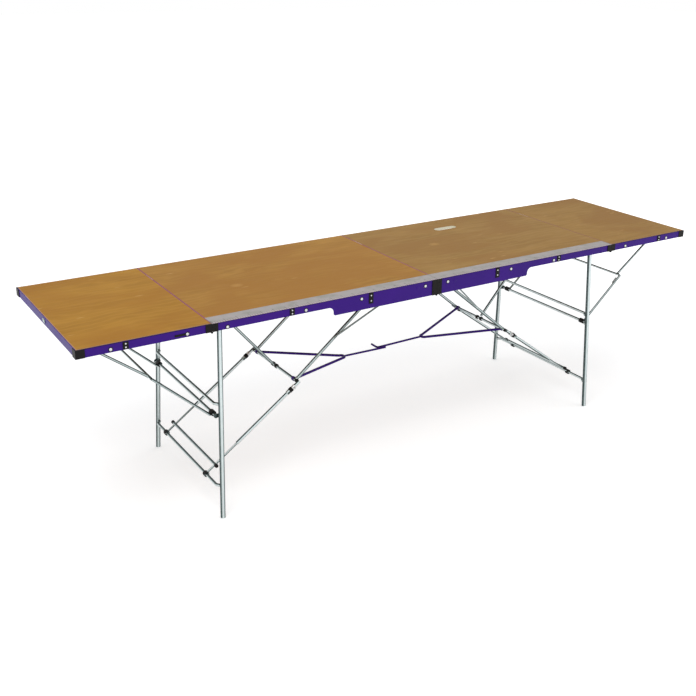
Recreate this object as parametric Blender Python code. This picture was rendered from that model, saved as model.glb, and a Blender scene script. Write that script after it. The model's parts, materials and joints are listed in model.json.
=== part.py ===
"""Folding wallpaper pasting table: four boards in steel rails on two pairs of folding legs.

Metres, +Z up. The origin is on the floor under the middle of the table, X runs along its
length and the long edge with the cutting strip faces -Y. Places along X are worked out for one
half of the table, as a distance from the middle, and mirrored by a side of -1 or +1.
"""

import math

import bmesh
import bpy
from mathutils import Matrix, Vector

# Whole table
TABLE_LENGTH = 3.000
TABLE_DEPTH = 0.750
TABLE_HEIGHT = 0.830
LEAF_LENGTH = 0.495
FIT_GAP = 0.0003
RUNNING_GAP = 0.0005

# Boards
BOARD_THICKNESS = 0.012
SEAM_GAP = 0.0016
HAND_SLOT_FROM_MIDDLE = 0.503
HAND_SLOT_FROM_FAR_EDGE = 0.145
HAND_SLOT_LENGTH = 0.125
HAND_SLOT_WIDTH = 0.036
STRIP_WIDTH = 0.065
STRIP_THICKNESS = 0.0012

# Steel rails round the boards
PLATE_THICKNESS = 0.0027
WEB_THICKNESS = 0.002
RAIL_DEPTH = 0.033
DEEP_RAIL_DEPTH = 0.068
DEEP_RAIL_REACH = 0.486
STEP_CORNER = 0.008
STEP_CURVE = 0.022
BOARD_EDGE_SHOWN = 0.0015
LEDGE_WIDTH = 0.010
LEDGE_THICKNESS = 0.0022
LIP_WIDTH = 0.008
LIP_THICKNESS = 0.002
CORNER_CAP_ARM = 0.033

# Seam hinges
HINGE_HALF_WIDTH = 0.024
HINGE_DEPTH = 0.012
HINGE_PARTING = 0.0003
RAIL_END_CLEARANCE = 0.006
LEAF_AXIS_DROP = 0.002
MIDDLE_AXIS_DROP = 0.0012
KNUCKLE_RADIUS = 0.004
KNUCKLE_LENGTH = 0.0055
HINGE_PIN_RADIUS = 0.0015

# Legs and the bars between them
LEG_RADIUS = 0.011
LEG_PIVOT_FROM_SEAM = 0.062
LEG_PIVOT_DROP = 0.0135
LEG_TOP_INSET = 0.075
LEG_FOOT_INSET = 0.039
LEG_SPLAY = 0.028
LEG_AXLE_RADIUS = 0.005
LEG_SLEEVE_RADIUS = 0.0108
LEG_SLEEVE_LENGTH = 0.026
BAR_RADIUS = 0.006
BAR_STUB = 0.003
BAR_BEND_RUN = 0.019
LOWER_BAR_HEIGHT = 0.130
LOWER_BAR_OFFSET = 0.012
UPPER_BAR_HEIGHT = 0.469
UPPER_BAR_OFFSET = 0.014

# Leaf supports, which meet at a knee under each end leaf
SUPPORT_RADIUS = 0.0055
SUPPORT_PIVOT_FROM_END = 0.040
SUPPORT_PIVOT_DROP = 0.0065
UPPER_SUPPORT_LENGTH = 0.322
UPPER_SUPPORT_ANGLE = math.radians(37)
UPPER_SUPPORT_INSET = 0.125
LOWER_SUPPORT_HEIGHT = 0.425
LOWER_SUPPORT_INSET = 0.105
LOWER_SUPPORT_OFFSET = 0.012
SUPPORT_BAR_INSET = 0.0725
SUPPORT_SLEEVE_RADIUS = 0.0085
SUPPORT_SLEEVE_LENGTH = 0.016
LUG_INSET = 0.0745
LUG_THICKNESS = 0.004
LUG_EYE_RADIUS = 0.0095

# Braces, which meet at a knee bar under each middle panel
BRACE_PIVOT_FROM_MIDDLE = 0.095
BRACE_PIVOT_DROP = 0.010
KNEE_FROM_MIDDLE = 0.557
KNEE_HEIGHT = 0.430
KNEE_BAR_INSET = 0.181
UPPER_BRACE_INSET = 0.196
STAY_RADIUS = 0.003
STAY_DOWN_BRACE = 0.370
STAY_OFFSET = 0.003
STAY_END_INSET = 0.058
LOWER_BRACE_INSET = 0.172
BRACE_EYE_RADIUS = 0.0095
BRACE_EYE_LENGTH = 0.016
BRACE_ROD_RADIUS = 0.004
BRACE_ROD_LENGTH = 0.360
BRACE_ROD_START = 0.0083
BRACE_BAR_AT = 0.050
BRACE_BAR_OFFSET = 0.004
BRACE_BAR_INSET = 0.150
BRACE_TUBE_RADIUS = 0.006
BRACE_TUBE_BORE_RADIUS = 0.0045
BRACE_TUBE_START = 0.169
BRACE_TUBE_PAST_KNEE = 0.006
BRACE_TUBE_END_WALL = 0.030
BRACE_COLLAR_RADIUS = 0.0085
BRACE_COLLAR_START = 0.452
BRACE_COLLAR_LENGTH = 0.030

# Central sliding link
LINK_PIVOT_FROM_MIDDLE = 0.888
LINK_PIVOT_DROP = 0.0032
LINK_END_FROM_KNEE = 0.0126
LINK_HALF_THICKNESS = 0.0025
LINK_HALF_WIDTH = 0.006
LINK_CLIP_LENGTH = 0.030
LINK_CLIP_HALF_WIDTH = 0.012
LINK_PIN_RADIUS = 0.0025
LINK_PIN_HALF_LENGTH = 0.013
BRACKET_EAR_GAP = 0.0085
BRACKET_EAR_THICKNESS = 0.005
BRACKET_EAR_REACH = 0.006
BRACKET_LENGTH = 0.033
BRACKET_BASE_START = 0.006
BRACKET_BASE_THICKNESS = 0.0027
BRACKET_HEIGHT = 0.0075
BRACKET_GROOVE_RADIUS = 0.0029

# Pull rods, which hook together under the middle
PULL_ROD_RADIUS = 0.0045
PULL_ROD_EYE_INSET = 0.212
PULL_ROD_EYE_RADIUS = 0.0095
PULL_ROD_EYE_LENGTH = 0.012
PULL_ROD_ARM_START = 0.0083
FORK_FROM_MIDDLE = 0.217
FORK_HEIGHT = 0.400
FORK_HALF_WIDTH = 0.016
PULL_ROD_SIDE_SHIFT = 0.008
PULL_ROD_END_HEIGHT = 0.396
PULL_ROD_END_PAST_MIDDLE = 0.006
HOOK_PAST_MIDDLE = 0.023
HOOK_PRONG_LENGTH = 0.046
HOOK_BEND_RADIUS = 0.010

# Mesh fineness
TUBE_SIDES = 12
SMALL_SIDES = 10
BEND_STEPS = 6
SLOT_END_STEPS = 8
CURVE_BEVEL_RESOLUTION = 4
CUT_OVERRUN = 0.002
WELD_DISTANCE = 0.00001
SHARP_ANGLE = math.radians(40)

# Levels and lines that several pieces share
HALF_LENGTH = TABLE_LENGTH / 2
HALF_DEPTH = TABLE_DEPTH / 2
SEAM = HALF_LENGTH - LEAF_LENGTH
UNDERSIDE = TABLE_HEIGHT - BOARD_THICKNESS
RAIL_TOP = TABLE_HEIGHT - BOARD_EDGE_SHOWN
RAIL_BOTTOM = TABLE_HEIGHT - RAIL_DEPTH
DEEP_RAIL_BOTTOM = TABLE_HEIGHT - DEEP_RAIL_DEPTH
RAIL_SETBACK = PLATE_THICKNESS + FIT_GAP
RAIL_FACE = HALF_DEPTH - RAIL_SETBACK
RAIL_BACK = RAIL_FACE - WEB_THICKNESS
AXLE_END = RAIL_FACE - FIT_GAP
LEAF_AXIS = RAIL_BOTTOM - LEAF_AXIS_DROP
MIDDLE_AXIS = DEEP_RAIL_BOTTOM - MIDDLE_AXIS_DROP

PURPLE = ("purple enamel", (0.062, 0.017, 0.300), 0.35, 0.0)
STEEL = ("zinc plated steel", (0.42, 0.46, 0.45), 0.35, 0.9)
BLACK = ("black plastic", (0.012, 0.012, 0.014), 0.5, 0.0)
PLYWOOD = ("plywood", (0.43, 0.22, 0.06), 0.45, 0.0)
ALUMINIUM = ("brushed aluminium", (0.45, 0.45, 0.43), 0.4, 0.8)

SIDES = {"left": -1, "right": 1}
EDGES = {"near": -1, "far": 1}


def clear_scene():
    for item in list(bpy.data.objects):
        bpy.data.objects.remove(item)


def material(look):
    name, colour, roughness, metallic = look
    found = bpy.data.materials.get(name)
    if found:
        return found
    made = bpy.data.materials.new(name)
    made.use_nodes = True
    shader = made.node_tree.nodes["Principled BSDF"]
    shader.inputs["Base Color"].default_value = (*colour, 1)
    shader.inputs["Roughness"].default_value = roughness
    shader.inputs["Metallic"].default_value = metallic
    return made


def body(name, place, parent=None):
    """Makes the empty that carries a moving body, at its joint."""
    empty = bpy.data.objects.new(name, None)
    bpy.context.scene.collection.objects.link(empty)
    empty.location = place
    if parent:
        empty.parent = parent
        empty.matrix_parent_inverse = Matrix.Translation(-world_place(parent))
    return empty


def world_place(empty):
    bpy.context.view_layer.update()
    return empty.matrix_world.translation.copy()


def as_object(work):
    mesh = bpy.data.meshes.new("piece")
    bmesh.ops.recalc_face_normals(work, faces=work.faces)
    work.to_mesh(mesh)
    work.free()
    made = bpy.data.objects.new("piece", mesh)
    bpy.context.scene.collection.objects.link(made)
    return made


def block(corner_a, corner_b):
    work = bmesh.new()
    bmesh.ops.create_cube(work, size=1)
    low = Vector(map(min, corner_a, corner_b))
    high = Vector(map(max, corner_a, corner_b))
    bmesh.ops.scale(work, verts=work.verts, vec=high - low)
    bmesh.ops.translate(work, verts=work.verts, vec=(high + low) / 2)
    return as_object(work)


def prism(outline, shift):
    """Extrudes a flat outline of 3-D points by a shift."""
    work = bmesh.new()
    face = work.faces.new([work.verts.new(point) for point in outline])
    grown = bmesh.ops.extrude_face_region(work, geom=[face])
    moved = [item for item in grown["geom"] if isinstance(item, bmesh.types.BMVert)]
    bmesh.ops.translate(work, verts=moved, vec=shift)
    return as_object(work)


def rod(start, end, radius, sides=TUBE_SIDES):
    work = bmesh.new()
    run = end - start
    turn = run.to_track_quat("Z", "Y").to_matrix().to_4x4()
    bmesh.ops.create_cone(work, cap_ends=True, segments=sides, radius1=radius, radius2=radius,
                          depth=run.length, matrix=Matrix.Translation((start + end) / 2) @ turn)
    return as_object(work)


def cross_rod(side, spot, y_start, y_end, radius, sides=TUBE_SIDES):
    return rod(at(side, spot, y_start), at(side, spot, y_end), radius, sides)


def leaning_tube(top, foot, radius):
    """A tube whose two ends are both cut level, so that it stands flat on the floor."""
    work = bmesh.new()
    bmesh.ops.create_cone(work, cap_ends=True, segments=TUBE_SIDES, radius1=radius,
                          radius2=radius, depth=top.z - foot.z)
    lean = (top - foot) / (top.z - foot.z)
    middle = (top + foot) / 2
    for vert in work.verts:
        height = vert.co.z
        vert.co.x += middle.x + lean.x * height
        vert.co.y += middle.y + lean.y * height
        vert.co.z += middle.z
    return as_object(work)


def bent_rod(points, radius):
    curve = bpy.data.curves.new("bent rod", "CURVE")
    curve.dimensions = "3D"
    curve.bevel_depth = radius
    curve.bevel_resolution = CURVE_BEVEL_RESOLUTION
    curve.use_fill_caps = True
    spline = curve.splines.new("POLY")
    spline.points.add(len(points) - 1)
    for knot, point in zip(spline.points, points):
        knot.co = (*point, 1)
    guide = bpy.data.objects.new("bent rod", curve)
    bpy.context.scene.collection.objects.link(guide)
    made = bpy.data.objects.new("piece", evaluated_mesh(guide))
    bpy.context.scene.collection.objects.link(made)
    bpy.data.objects.remove(guide)
    return made


def evaluated_mesh(item):
    depsgraph = bpy.context.evaluated_depsgraph_get()
    depsgraph.update()
    return bpy.data.meshes.new_from_object(item.evaluated_get(depsgraph))


def combine(base, tool, operation):
    modifier = base.modifiers.new("combine", "BOOLEAN")
    modifier.operation = operation
    modifier.solver = "EXACT"
    modifier.object = tool
    mesh = evaluated_mesh(base)
    base.modifiers.clear()
    base.data = mesh
    weld(mesh)
    bpy.data.objects.remove(tool)
    return base


def weld(mesh):
    work = bmesh.new()
    work.from_mesh(mesh)
    bmesh.ops.remove_doubles(work, verts=work.verts, dist=WELD_DISTANCE)
    bmesh.ops.dissolve_degenerate(work, edges=work.edges, dist=WELD_DISTANCE)
    work.to_mesh(mesh)
    work.free()


def fuse(base, *others):
    for other in others:
        combine(base, other, "UNION")
    return base


def cut(base, *tools):
    for tool in tools:
        combine(base, tool, "DIFFERENCE")
    return base


def finish(piece, name, look, carrier):
    """Names a piece, gives it its look and hangs it on its body with its origin at the joint."""
    place = world_place(carrier)
    mesh = piece.data
    mesh.transform(Matrix.Translation(-place))
    mesh.name = name
    mesh.materials.clear()
    mesh.materials.append(material(look))
    mesh.shade_smooth()
    mesh.set_sharp_from_angle(angle=SHARP_ANGLE)
    piece.name = name
    piece.parent = carrier
    return piece


def at(side, spot, y):
    """A world point from a (distance from the middle, height) pair and a depth."""
    return Vector((side * spot[0], y, spot[1]))


def lane(inset):
    """Depth of a line that lies some way in from the table's long edge."""
    return HALF_DEPTH - inset


def rotated(vector, angle):
    return Matrix.Rotation(angle, 2) @ vector


def leg_pivot():
    return Vector((SEAM - LEG_PIVOT_FROM_SEAM, UNDERSIDE - LEG_PIVOT_DROP))


def leg_share(height):
    """How far down the leg a height lies, from 0 at its pivot to 1 at its foot."""
    return 1 - height / leg_pivot().y


def leg_spot(height, offset):
    """A (distance, height) pair beside the leg, offset square to it towards the table's end."""
    pivot = leg_pivot()
    foot = pivot + Vector((LEG_SPLAY, -pivot.y))
    outward = rotated((foot - pivot).normalized(), math.pi / 2)
    return pivot.lerp(foot, leg_share(height)) + outward * offset


def leg_depth(height):
    return lane(LEG_TOP_INSET + (LEG_FOOT_INSET - LEG_TOP_INSET) * leg_share(height))


def support_pivot():
    return Vector((HALF_LENGTH - SUPPORT_PIVOT_FROM_END, UNDERSIDE - SUPPORT_PIVOT_DROP))


def support_knee():
    down = Vector((-math.cos(UPPER_SUPPORT_ANGLE), -math.sin(UPPER_SUPPORT_ANGLE)))
    return support_pivot() + down * UPPER_SUPPORT_LENGTH


def support_foot():
    return leg_spot(LOWER_SUPPORT_HEIGHT, UPPER_BAR_OFFSET)


def brace_pivot():
    return Vector((BRACE_PIVOT_FROM_MIDDLE, UNDERSIDE - BRACE_PIVOT_DROP))


def knee():
    return Vector((KNEE_FROM_MIDDLE, KNEE_HEIGHT))


def brace_foot():
    return leg_spot(LOWER_BAR_HEIGHT, LOWER_BAR_OFFSET)


def link_pivot():
    return Vector((LINK_PIVOT_FROM_MIDDLE, UNDERSIDE - LINK_PIVOT_DROP))


def make_leaf_top(side, name, carrier):
    start = SEAM + SEAM_GAP / 2
    end = HALF_LENGTH - RAIL_SETBACK - WEB_THICKNESS - FIT_GAP
    edge = RAIL_BACK - FIT_GAP
    board = block((side * start, -edge, UNDERSIDE), (side * end, edge, TABLE_HEIGHT))
    finish(board, name, PLYWOOD, carrier)


def make_main_top(side, name, carrier):
    edge = RAIL_BACK - FIT_GAP
    start = side * SEAM_GAP / 2
    end = side * (SEAM - SEAM_GAP / 2)
    board = block((start, -edge, UNDERSIDE), (end, edge, TABLE_HEIGHT))
    rebate_edge = -HALF_DEPTH + STRIP_WIDTH + FIT_GAP
    rebate_floor = TABLE_HEIGHT - STRIP_THICKNESS - FIT_GAP
    rebate = block((start - side * CUT_OVERRUN, -HALF_DEPTH, rebate_floor),
                   (end + side * CUT_OVERRUN, rebate_edge, TABLE_HEIGHT + CUT_OVERRUN))
    cut(board, rebate)
    if name.startswith("right"):
        cut(board, hand_slot())
    finish(board, name, PLYWOOD, carrier)


def hand_slot():
    """The cutter for the carrying slot: a straight slot with round ends."""
    radius = HAND_SLOT_WIDTH / 2
    straight = HAND_SLOT_LENGTH / 2 - radius
    centre = Vector((HAND_SLOT_FROM_MIDDLE, HALF_DEPTH - HAND_SLOT_FROM_FAR_EDGE,
                     UNDERSIDE - CUT_OVERRUN))
    outline = []
    for end in (1, -1):
        for step in range(SLOT_END_STEPS + 1):
            angle = math.pi * (step / SLOT_END_STEPS - 1 / 2)
            along = end * (straight + radius * math.cos(angle))
            outline.append(centre + Vector((along, end * radius * math.sin(angle), 0)))
    return prism(outline, Vector((0, 0, BOARD_THICKNESS + 2 * CUT_OVERRUN)))


def make_strip(side, name, carrier):
    near = -HALF_DEPTH + FIT_GAP
    strip = block((side * SEAM_GAP / 2, near, TABLE_HEIGHT - STRIP_THICKNESS),
                  (side * (SEAM - SEAM_GAP / 2), near + STRIP_WIDTH - FIT_GAP, TABLE_HEIGHT))
    finish(strip, name, ALUMINIUM, carrier)


def rail_section(bottom):
    """Section of a rail, as (distance in from its outer face, height) pairs."""
    ledge_top = UNDERSIDE - FIT_GAP
    ledge_bottom = ledge_top - LEDGE_THICKNESS
    lip_top = bottom + LIP_THICKNESS
    ledge_reach = WEB_THICKNESS + LEDGE_WIDTH
    lip_reach = WEB_THICKNESS + LIP_WIDTH
    return [(0, bottom), (lip_reach, bottom), (lip_reach, lip_top), (WEB_THICKNESS, lip_top),
            (WEB_THICKNESS, ledge_bottom), (ledge_reach, ledge_bottom), (ledge_reach, ledge_top),
            (WEB_THICKNESS, ledge_top), (WEB_THICKNESS, RAIL_TOP), (0, RAIL_TOP)]


def drill(edge, side, spot, radius):
    """The cutter for an axle's hole through a long rail."""
    return cross_rod(side, spot, edge * (RAIL_FACE + CUT_OVERRUN),
                     edge * (RAIL_BACK - LEDGE_WIDTH - CUT_OVERRUN), radius)


def make_leaf_long_rail(side, edge, name, carrier):
    start = SEAM + RAIL_END_CLEARANCE
    run = HALF_LENGTH - RAIL_SETBACK - start
    outline = [(side * start, edge * (RAIL_FACE - inward), height)
               for inward, height in rail_section(RAIL_BOTTOM)]
    rail = prism(outline, Vector((side * run, 0, 0)))
    cut(rail, drill(edge, side, support_pivot(), SUPPORT_PIVOT_DROP))
    finish(rail, name, PURPLE, carrier)


def make_leaf_end_rail(side, name, carrier):
    face = HALF_LENGTH - RAIL_SETBACK
    reach = RAIL_BACK - LEDGE_WIDTH - FIT_GAP
    outline = [(side * (face - inward), -reach, height)
               for inward, height in rail_section(RAIL_BOTTOM)]
    rail = prism(outline, Vector((0, 2 * reach, 0)))
    finish(rail, name, PURPLE, carrier)


def deep_rail_outline():
    """Side view of a main rail, from the middle outwards, with its curved step."""
    start = RAIL_END_CLEARANCE
    end = SEAM - RAIL_END_CLEARANCE
    face = DEEP_RAIL_REACH + STEP_CORNER
    points = [(start, DEEP_RAIL_BOTTOM)]
    for step in range(BEND_STEPS + 1):
        angle = math.pi / 2 * step / BEND_STEPS
        points.append((DEEP_RAIL_REACH + STEP_CORNER * math.sin(angle),
                       DEEP_RAIL_BOTTOM + STEP_CORNER * (1 - math.cos(angle))))
    for step in range(BEND_STEPS + 1):
        angle = math.pi / 2 * step / BEND_STEPS
        points.append((face + STEP_CURVE * (1 - math.cos(angle)),
                       RAIL_BOTTOM - STEP_CURVE * (1 - math.sin(angle))))
    points += [(end, RAIL_BOTTOM), (end, RAIL_TOP), (start, RAIL_TOP)]
    return points


def make_main_long_rail(side, edge, name, carrier):
    start = RAIL_END_CLEARANCE
    end = SEAM - RAIL_END_CLEARANCE
    ledge_top = UNDERSIDE - FIT_GAP
    root = RAIL_FACE - WEB_THICKNESS / 2
    web = prism([at(side, spot, edge * RAIL_FACE) for spot in deep_rail_outline()],
                Vector((0, -edge * WEB_THICKNESS, 0)))
    ledge = block(at(side, (start, ledge_top - LEDGE_THICKNESS), edge * root),
                  at(side, (end, ledge_top), edge * (RAIL_BACK - LEDGE_WIDTH)))
    deep_lip = block(at(side, (start, DEEP_RAIL_BOTTOM), edge * root),
                     at(side, (DEEP_RAIL_REACH, DEEP_RAIL_BOTTOM + LIP_THICKNESS),
                        edge * (RAIL_BACK - LIP_WIDTH)))
    lip = block(at(side, (DEEP_RAIL_REACH + STEP_CORNER + STEP_CURVE, RAIL_BOTTOM), edge * root),
                at(side, (end, RAIL_BOTTOM + LIP_THICKNESS), edge * (RAIL_BACK - LIP_WIDTH)))
    rail = fuse(web, ledge, deep_lip, lip)
    cut(rail, drill(edge, side, leg_pivot(), LEG_AXLE_RADIUS + FIT_GAP))
    cut(rail, drill(edge, side, brace_pivot(), BAR_RADIUS + RUNNING_GAP))
    finish(rail, name, PURPLE, carrier)


def make_corner_cap(side, edge, name, carrier):
    inner = PLATE_THICKNESS
    plan = [(0, 0), (CORNER_CAP_ARM, 0), (CORNER_CAP_ARM, inner), (inner, inner),
            (inner, CORNER_CAP_ARM), (0, CORNER_CAP_ARM)]
    outline = [(side * (HALF_LENGTH - along), edge * (HALF_DEPTH - inward), RAIL_BOTTOM)
               for along, inward in plan]
    cap = prism(outline, Vector((0, 0, RAIL_TOP - RAIL_BOTTOM)))
    finish(cap, name, BLACK, carrier)


def hinge_block(side, edge, seam, away, plate_bottom):
    """The black plate on a rail's end, with the stop that fills the gap between two rails."""
    parting = seam + away * HINGE_PARTING
    plate = block(at(side, (parting, plate_bottom), edge * HALF_DEPTH),
                  at(side, (seam + away * HINGE_HALF_WIDTH, RAIL_TOP),
                     edge * (HALF_DEPTH - PLATE_THICKNESS)))
    stop = block(at(side, (parting, plate_bottom), edge * (HALF_DEPTH - PLATE_THICKNESS / 2)),
                 at(side, (seam + away * (RAIL_END_CLEARANCE - FIT_GAP), UNDERSIDE - FIT_GAP),
                    edge * (HALF_DEPTH - HINGE_DEPTH)))
    return fuse(plate, stop)


def make_hinge(side, edge, seam, axis, plate_bottom, names, carriers):
    """One seam hinge: its moving half holds the outer knuckle and pin, its fixed half the inner."""
    centre = (seam, axis)
    outer = (edge * (HALF_DEPTH - FIT_GAP), edge * (HALF_DEPTH - KNUCKLE_LENGTH))
    inner = (outer[1] - edge * FIT_GAP, edge * (HALF_DEPTH - HINGE_DEPTH))
    room = KNUCKLE_RADIUS + RUNNING_GAP
    moving = hinge_block(side, edge, seam, 1, plate_bottom)
    cut(moving, cross_rod(side, centre, inner[0] + edge * FIT_GAP / 2,
                          inner[1] - edge * CUT_OVERRUN, room))
    pin_end = inner[1] + edge * FIT_GAP
    fuse(moving, cross_rod(side, centre, *outer, KNUCKLE_RADIUS),
         cross_rod(side, centre, outer[0] - edge * FIT_GAP, pin_end, HINGE_PIN_RADIUS, SMALL_SIDES))
    finish(moving, names[0], BLACK, carriers[0])
    fixed = hinge_block(side, edge, seam, -1, plate_bottom)
    cut(fixed, cross_rod(side, centre, outer[0] + edge * CUT_OVERRUN,
                         outer[1] - edge * FIT_GAP / 2, room))
    fuse(fixed, cross_rod(side, centre, *inner, KNUCKLE_RADIUS))
    cut(fixed, cross_rod(side, centre, inner[0] + edge * CUT_OVERRUN,
                         inner[1] - edge * CUT_OVERRUN, HINGE_PIN_RADIUS + FIT_GAP, SMALL_SIDES))
    finish(fixed, names[1], BLACK, carriers[1])


def make_leg_axle(side, name, carrier):
    axle = cross_rod(side, leg_pivot(), -AXLE_END, AXLE_END, LEG_AXLE_RADIUS)
    finish(axle, name, STEEL, carrier)


def make_leg(side, edge, name, carrier):
    pivot = leg_pivot()
    top_depth = leg_depth(pivot.y)
    leg = leaning_tube(at(side, pivot, edge * top_depth),
                       at(side, leg_spot(0, 0), edge * leg_depth(0)), LEG_RADIUS)
    half = LEG_SLEEVE_LENGTH / 2
    sleeve = cross_rod(side, pivot, edge * (top_depth - half), edge * (top_depth + half),
                       LEG_SLEEVE_RADIUS)
    lug_face = lane(LUG_INSET)
    lug_back = lug_face - LUG_THICKNESS
    foot = support_foot()
    root = leg_spot(LOWER_SUPPORT_HEIGHT, 0)
    boss = cross_rod(side, root, edge * leg_depth(LOWER_SUPPORT_HEIGHT), edge * lug_back,
                     BAR_RADIUS)
    lug = prism([at(side, spot, edge * lug_face) for spot in lug_outline(root, foot)],
                Vector((0, -edge * LUG_THICKNESS, 0)))
    fuse(leg, sleeve, boss, lug)
    reach = half + CUT_OVERRUN
    cut(leg, cross_rod(side, pivot, edge * (top_depth - reach), edge * (top_depth + reach),
                       LEG_AXLE_RADIUS + RUNNING_GAP),
        cross_rod(side, foot, edge * (lug_face + CUT_OVERRUN), edge * (lug_back - CUT_OVERRUN),
                  BAR_RADIUS + RUNNING_GAP))
    finish(leg, name, STEEL, carrier)


def lug_outline(root, eye):
    """Rounded plate round two centres: a small end at the leg and the larger eye."""
    away = (eye - root).normalized()
    points = []
    for centre, radius, turn in ((root, BAR_RADIUS, math.pi / 2), (eye, LUG_EYE_RADIUS, -math.pi / 2)):
        for step in range(BEND_STEPS + 1):
            angle = turn + math.pi * step / BEND_STEPS
            points.append(centre + rotated(away, angle) * radius)
    return points


def make_cross_bar(side, height, offset, name, carrier):
    """A tube from leg to leg, its ends bent in to meet them."""
    start_depth = leg_depth(height) - LEG_RADIUS - RUNNING_GAP
    half = [(leg_spot(height, 0), start_depth)]
    for step in range(BEND_STEPS + 1):
        share = step / BEND_STEPS
        ease = (1 - math.cos(math.pi * share)) / 2
        depth = start_depth - BAR_STUB - BAR_BEND_RUN * share
        half.append((leg_spot(height, offset * ease), depth))
    points = [at(side, spot, -depth) for spot, depth in half]
    points += [at(side, spot, depth) for spot, depth in reversed(half)]
    finish(bent_rod(points, BAR_RADIUS), name, STEEL, carrier)


def make_upper_support(side, name, carrier):
    pivot = support_pivot()
    bend = support_knee()
    frame = cross_rod(side, pivot, -AXLE_END, AXLE_END, SUPPORT_RADIUS)
    for edge in EDGES.values():
        depth = edge * lane(UPPER_SUPPORT_INSET)
        fuse(frame, rod(at(side, pivot, depth), at(side, bend, depth), SUPPORT_RADIUS))
    reach = lane(LOWER_SUPPORT_INSET + SUPPORT_RADIUS + 2 * RUNNING_GAP)
    fuse(frame, cross_rod(side, bend, -reach, reach, SUPPORT_RADIUS))
    finish(frame, name, STEEL, carrier)


def lower_support_start():
    """Where the lower support's strut starts beside its bar, and where it ends at the knee."""
    foot = support_foot()
    to_knee = support_knee() - foot
    swing = math.acos(LOWER_SUPPORT_OFFSET / to_knee.length)
    return foot + rotated(to_knee.normalized(), -swing) * LOWER_SUPPORT_OFFSET


def make_lower_support(side, name, carrier):
    foot = support_foot()
    reach = lane(SUPPORT_BAR_INSET)
    frame = cross_rod(side, foot, -reach, reach, BAR_RADIUS)
    half = SUPPORT_SLEEVE_LENGTH / 2
    for edge in EDGES.values():
        depth = edge * lane(LOWER_SUPPORT_INSET)
        sleeve = cross_rod(side, foot, depth - half, depth + half, SUPPORT_SLEEVE_RADIUS)
        strut = rod(at(side, lower_support_start(), depth), at(side, support_knee(), depth),
                    SUPPORT_RADIUS)
        fuse(frame, sleeve, strut)
    finish(frame, name, STEEL, carrier)


def make_upper_brace(side, name, carrier):
    pivot = brace_pivot()
    bend = knee()
    down = (bend - pivot).normalized()
    lift = rotated(down, math.pi / 2) * STAY_OFFSET
    frame = cross_rod(side, pivot, -AXLE_END, AXLE_END, BAR_RADIUS)
    for edge in EDGES.values():
        depth = edge * lane(UPPER_BRACE_INSET)
        strut = rod(at(side, pivot, depth), at(side, bend, depth), BAR_RADIUS)
        stay = rod(at(side, pivot + down * STAY_DOWN_BRACE + lift, depth),
                   at(side, pivot + lift, edge * lane(STAY_END_INSET)), STAY_RADIUS, SMALL_SIDES)
        fuse(frame, strut, stay)
    reach = lane(KNEE_BAR_INSET)
    fuse(frame, cross_rod(side, bend, -reach, reach, BAR_RADIUS))
    finish(frame, name, STEEL, carrier)


def brace_direction():
    return (knee() - brace_foot()).normalized()


def make_lower_brace_rods(side, name, carrier):
    foot = brace_foot()
    along = brace_direction()
    bar_spot = foot + along * BRACE_BAR_AT + rotated(along, -math.pi / 2) * BRACE_BAR_OFFSET
    reach = lane(BRACE_BAR_INSET)
    frame = cross_rod(side, bar_spot, -reach, reach, BAR_RADIUS)
    half = BRACE_EYE_LENGTH / 2
    for edge in EDGES.values():
        depth = edge * lane(LOWER_BRACE_INSET)
        eye = cross_rod(side, foot, depth - half, depth + half, BRACE_EYE_RADIUS)
        strut = rod(at(side, foot + along * BRACE_ROD_START, depth),
                    at(side, foot + along * BRACE_ROD_LENGTH, depth), BRACE_ROD_RADIUS)
        bore = cross_rod(side, foot, depth - half - CUT_OVERRUN, depth + half + CUT_OVERRUN,
                         BAR_RADIUS + RUNNING_GAP)
        fuse(frame, strut, eye)
        cut(frame, bore)
    finish(frame, name, STEEL, carrier)


def make_lower_brace_tube(side, edge, name, carrier):
    foot = brace_foot()
    along = brace_direction()
    depth = edge * lane(LOWER_BRACE_INSET)
    length = (knee() - foot).length + BRACE_TUBE_PAST_KNEE

    def spot(distance):
        return at(side, foot + along * distance, depth)

    tube = rod(spot(BRACE_TUBE_START), spot(length), BRACE_TUBE_RADIUS)
    collar = rod(spot(BRACE_COLLAR_START), spot(BRACE_COLLAR_START + BRACE_COLLAR_LENGTH),
                 BRACE_COLLAR_RADIUS)
    bore = rod(spot(BRACE_TUBE_START - CUT_OVERRUN), spot(length - BRACE_TUBE_END_WALL),
               BRACE_TUBE_BORE_RADIUS)
    fuse(tube, collar)
    cut(tube, bore)
    finish(tube, name, STEEL, carrier)


def link_length():
    return (knee() - link_pivot()).length - LINK_END_FROM_KNEE


def link_bar(side, start, end, half_width, half_thickness):
    """A flat length of the central link, between two distances from its pivot."""
    pivot = link_pivot()
    along = (knee() - pivot).normalized()
    across = rotated(along, math.pi / 2) * half_thickness
    near = pivot + along * start
    far = pivot + along * end
    outline = [at(side, spot, -half_width)
               for spot in (near + across, far + across, far - across, near - across)]
    return prism(outline, Vector((0, 2 * half_width, 0)))


def make_central_link(side, name, carrier):
    link = cross_rod(side, link_pivot(), -LINK_PIN_HALF_LENGTH, LINK_PIN_HALF_LENGTH,
                     LINK_PIN_RADIUS)
    end = link_length()
    strap = link_bar(side, 0, end - FIT_GAP, LINK_HALF_WIDTH, LINK_HALF_THICKNESS - FIT_GAP)
    clip = link_bar(side, end - LINK_CLIP_LENGTH, end, LINK_CLIP_HALF_WIDTH, LINK_HALF_THICKNESS)
    fuse(link, strap, clip)
    finish(link, name, STEEL, carrier)


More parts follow.
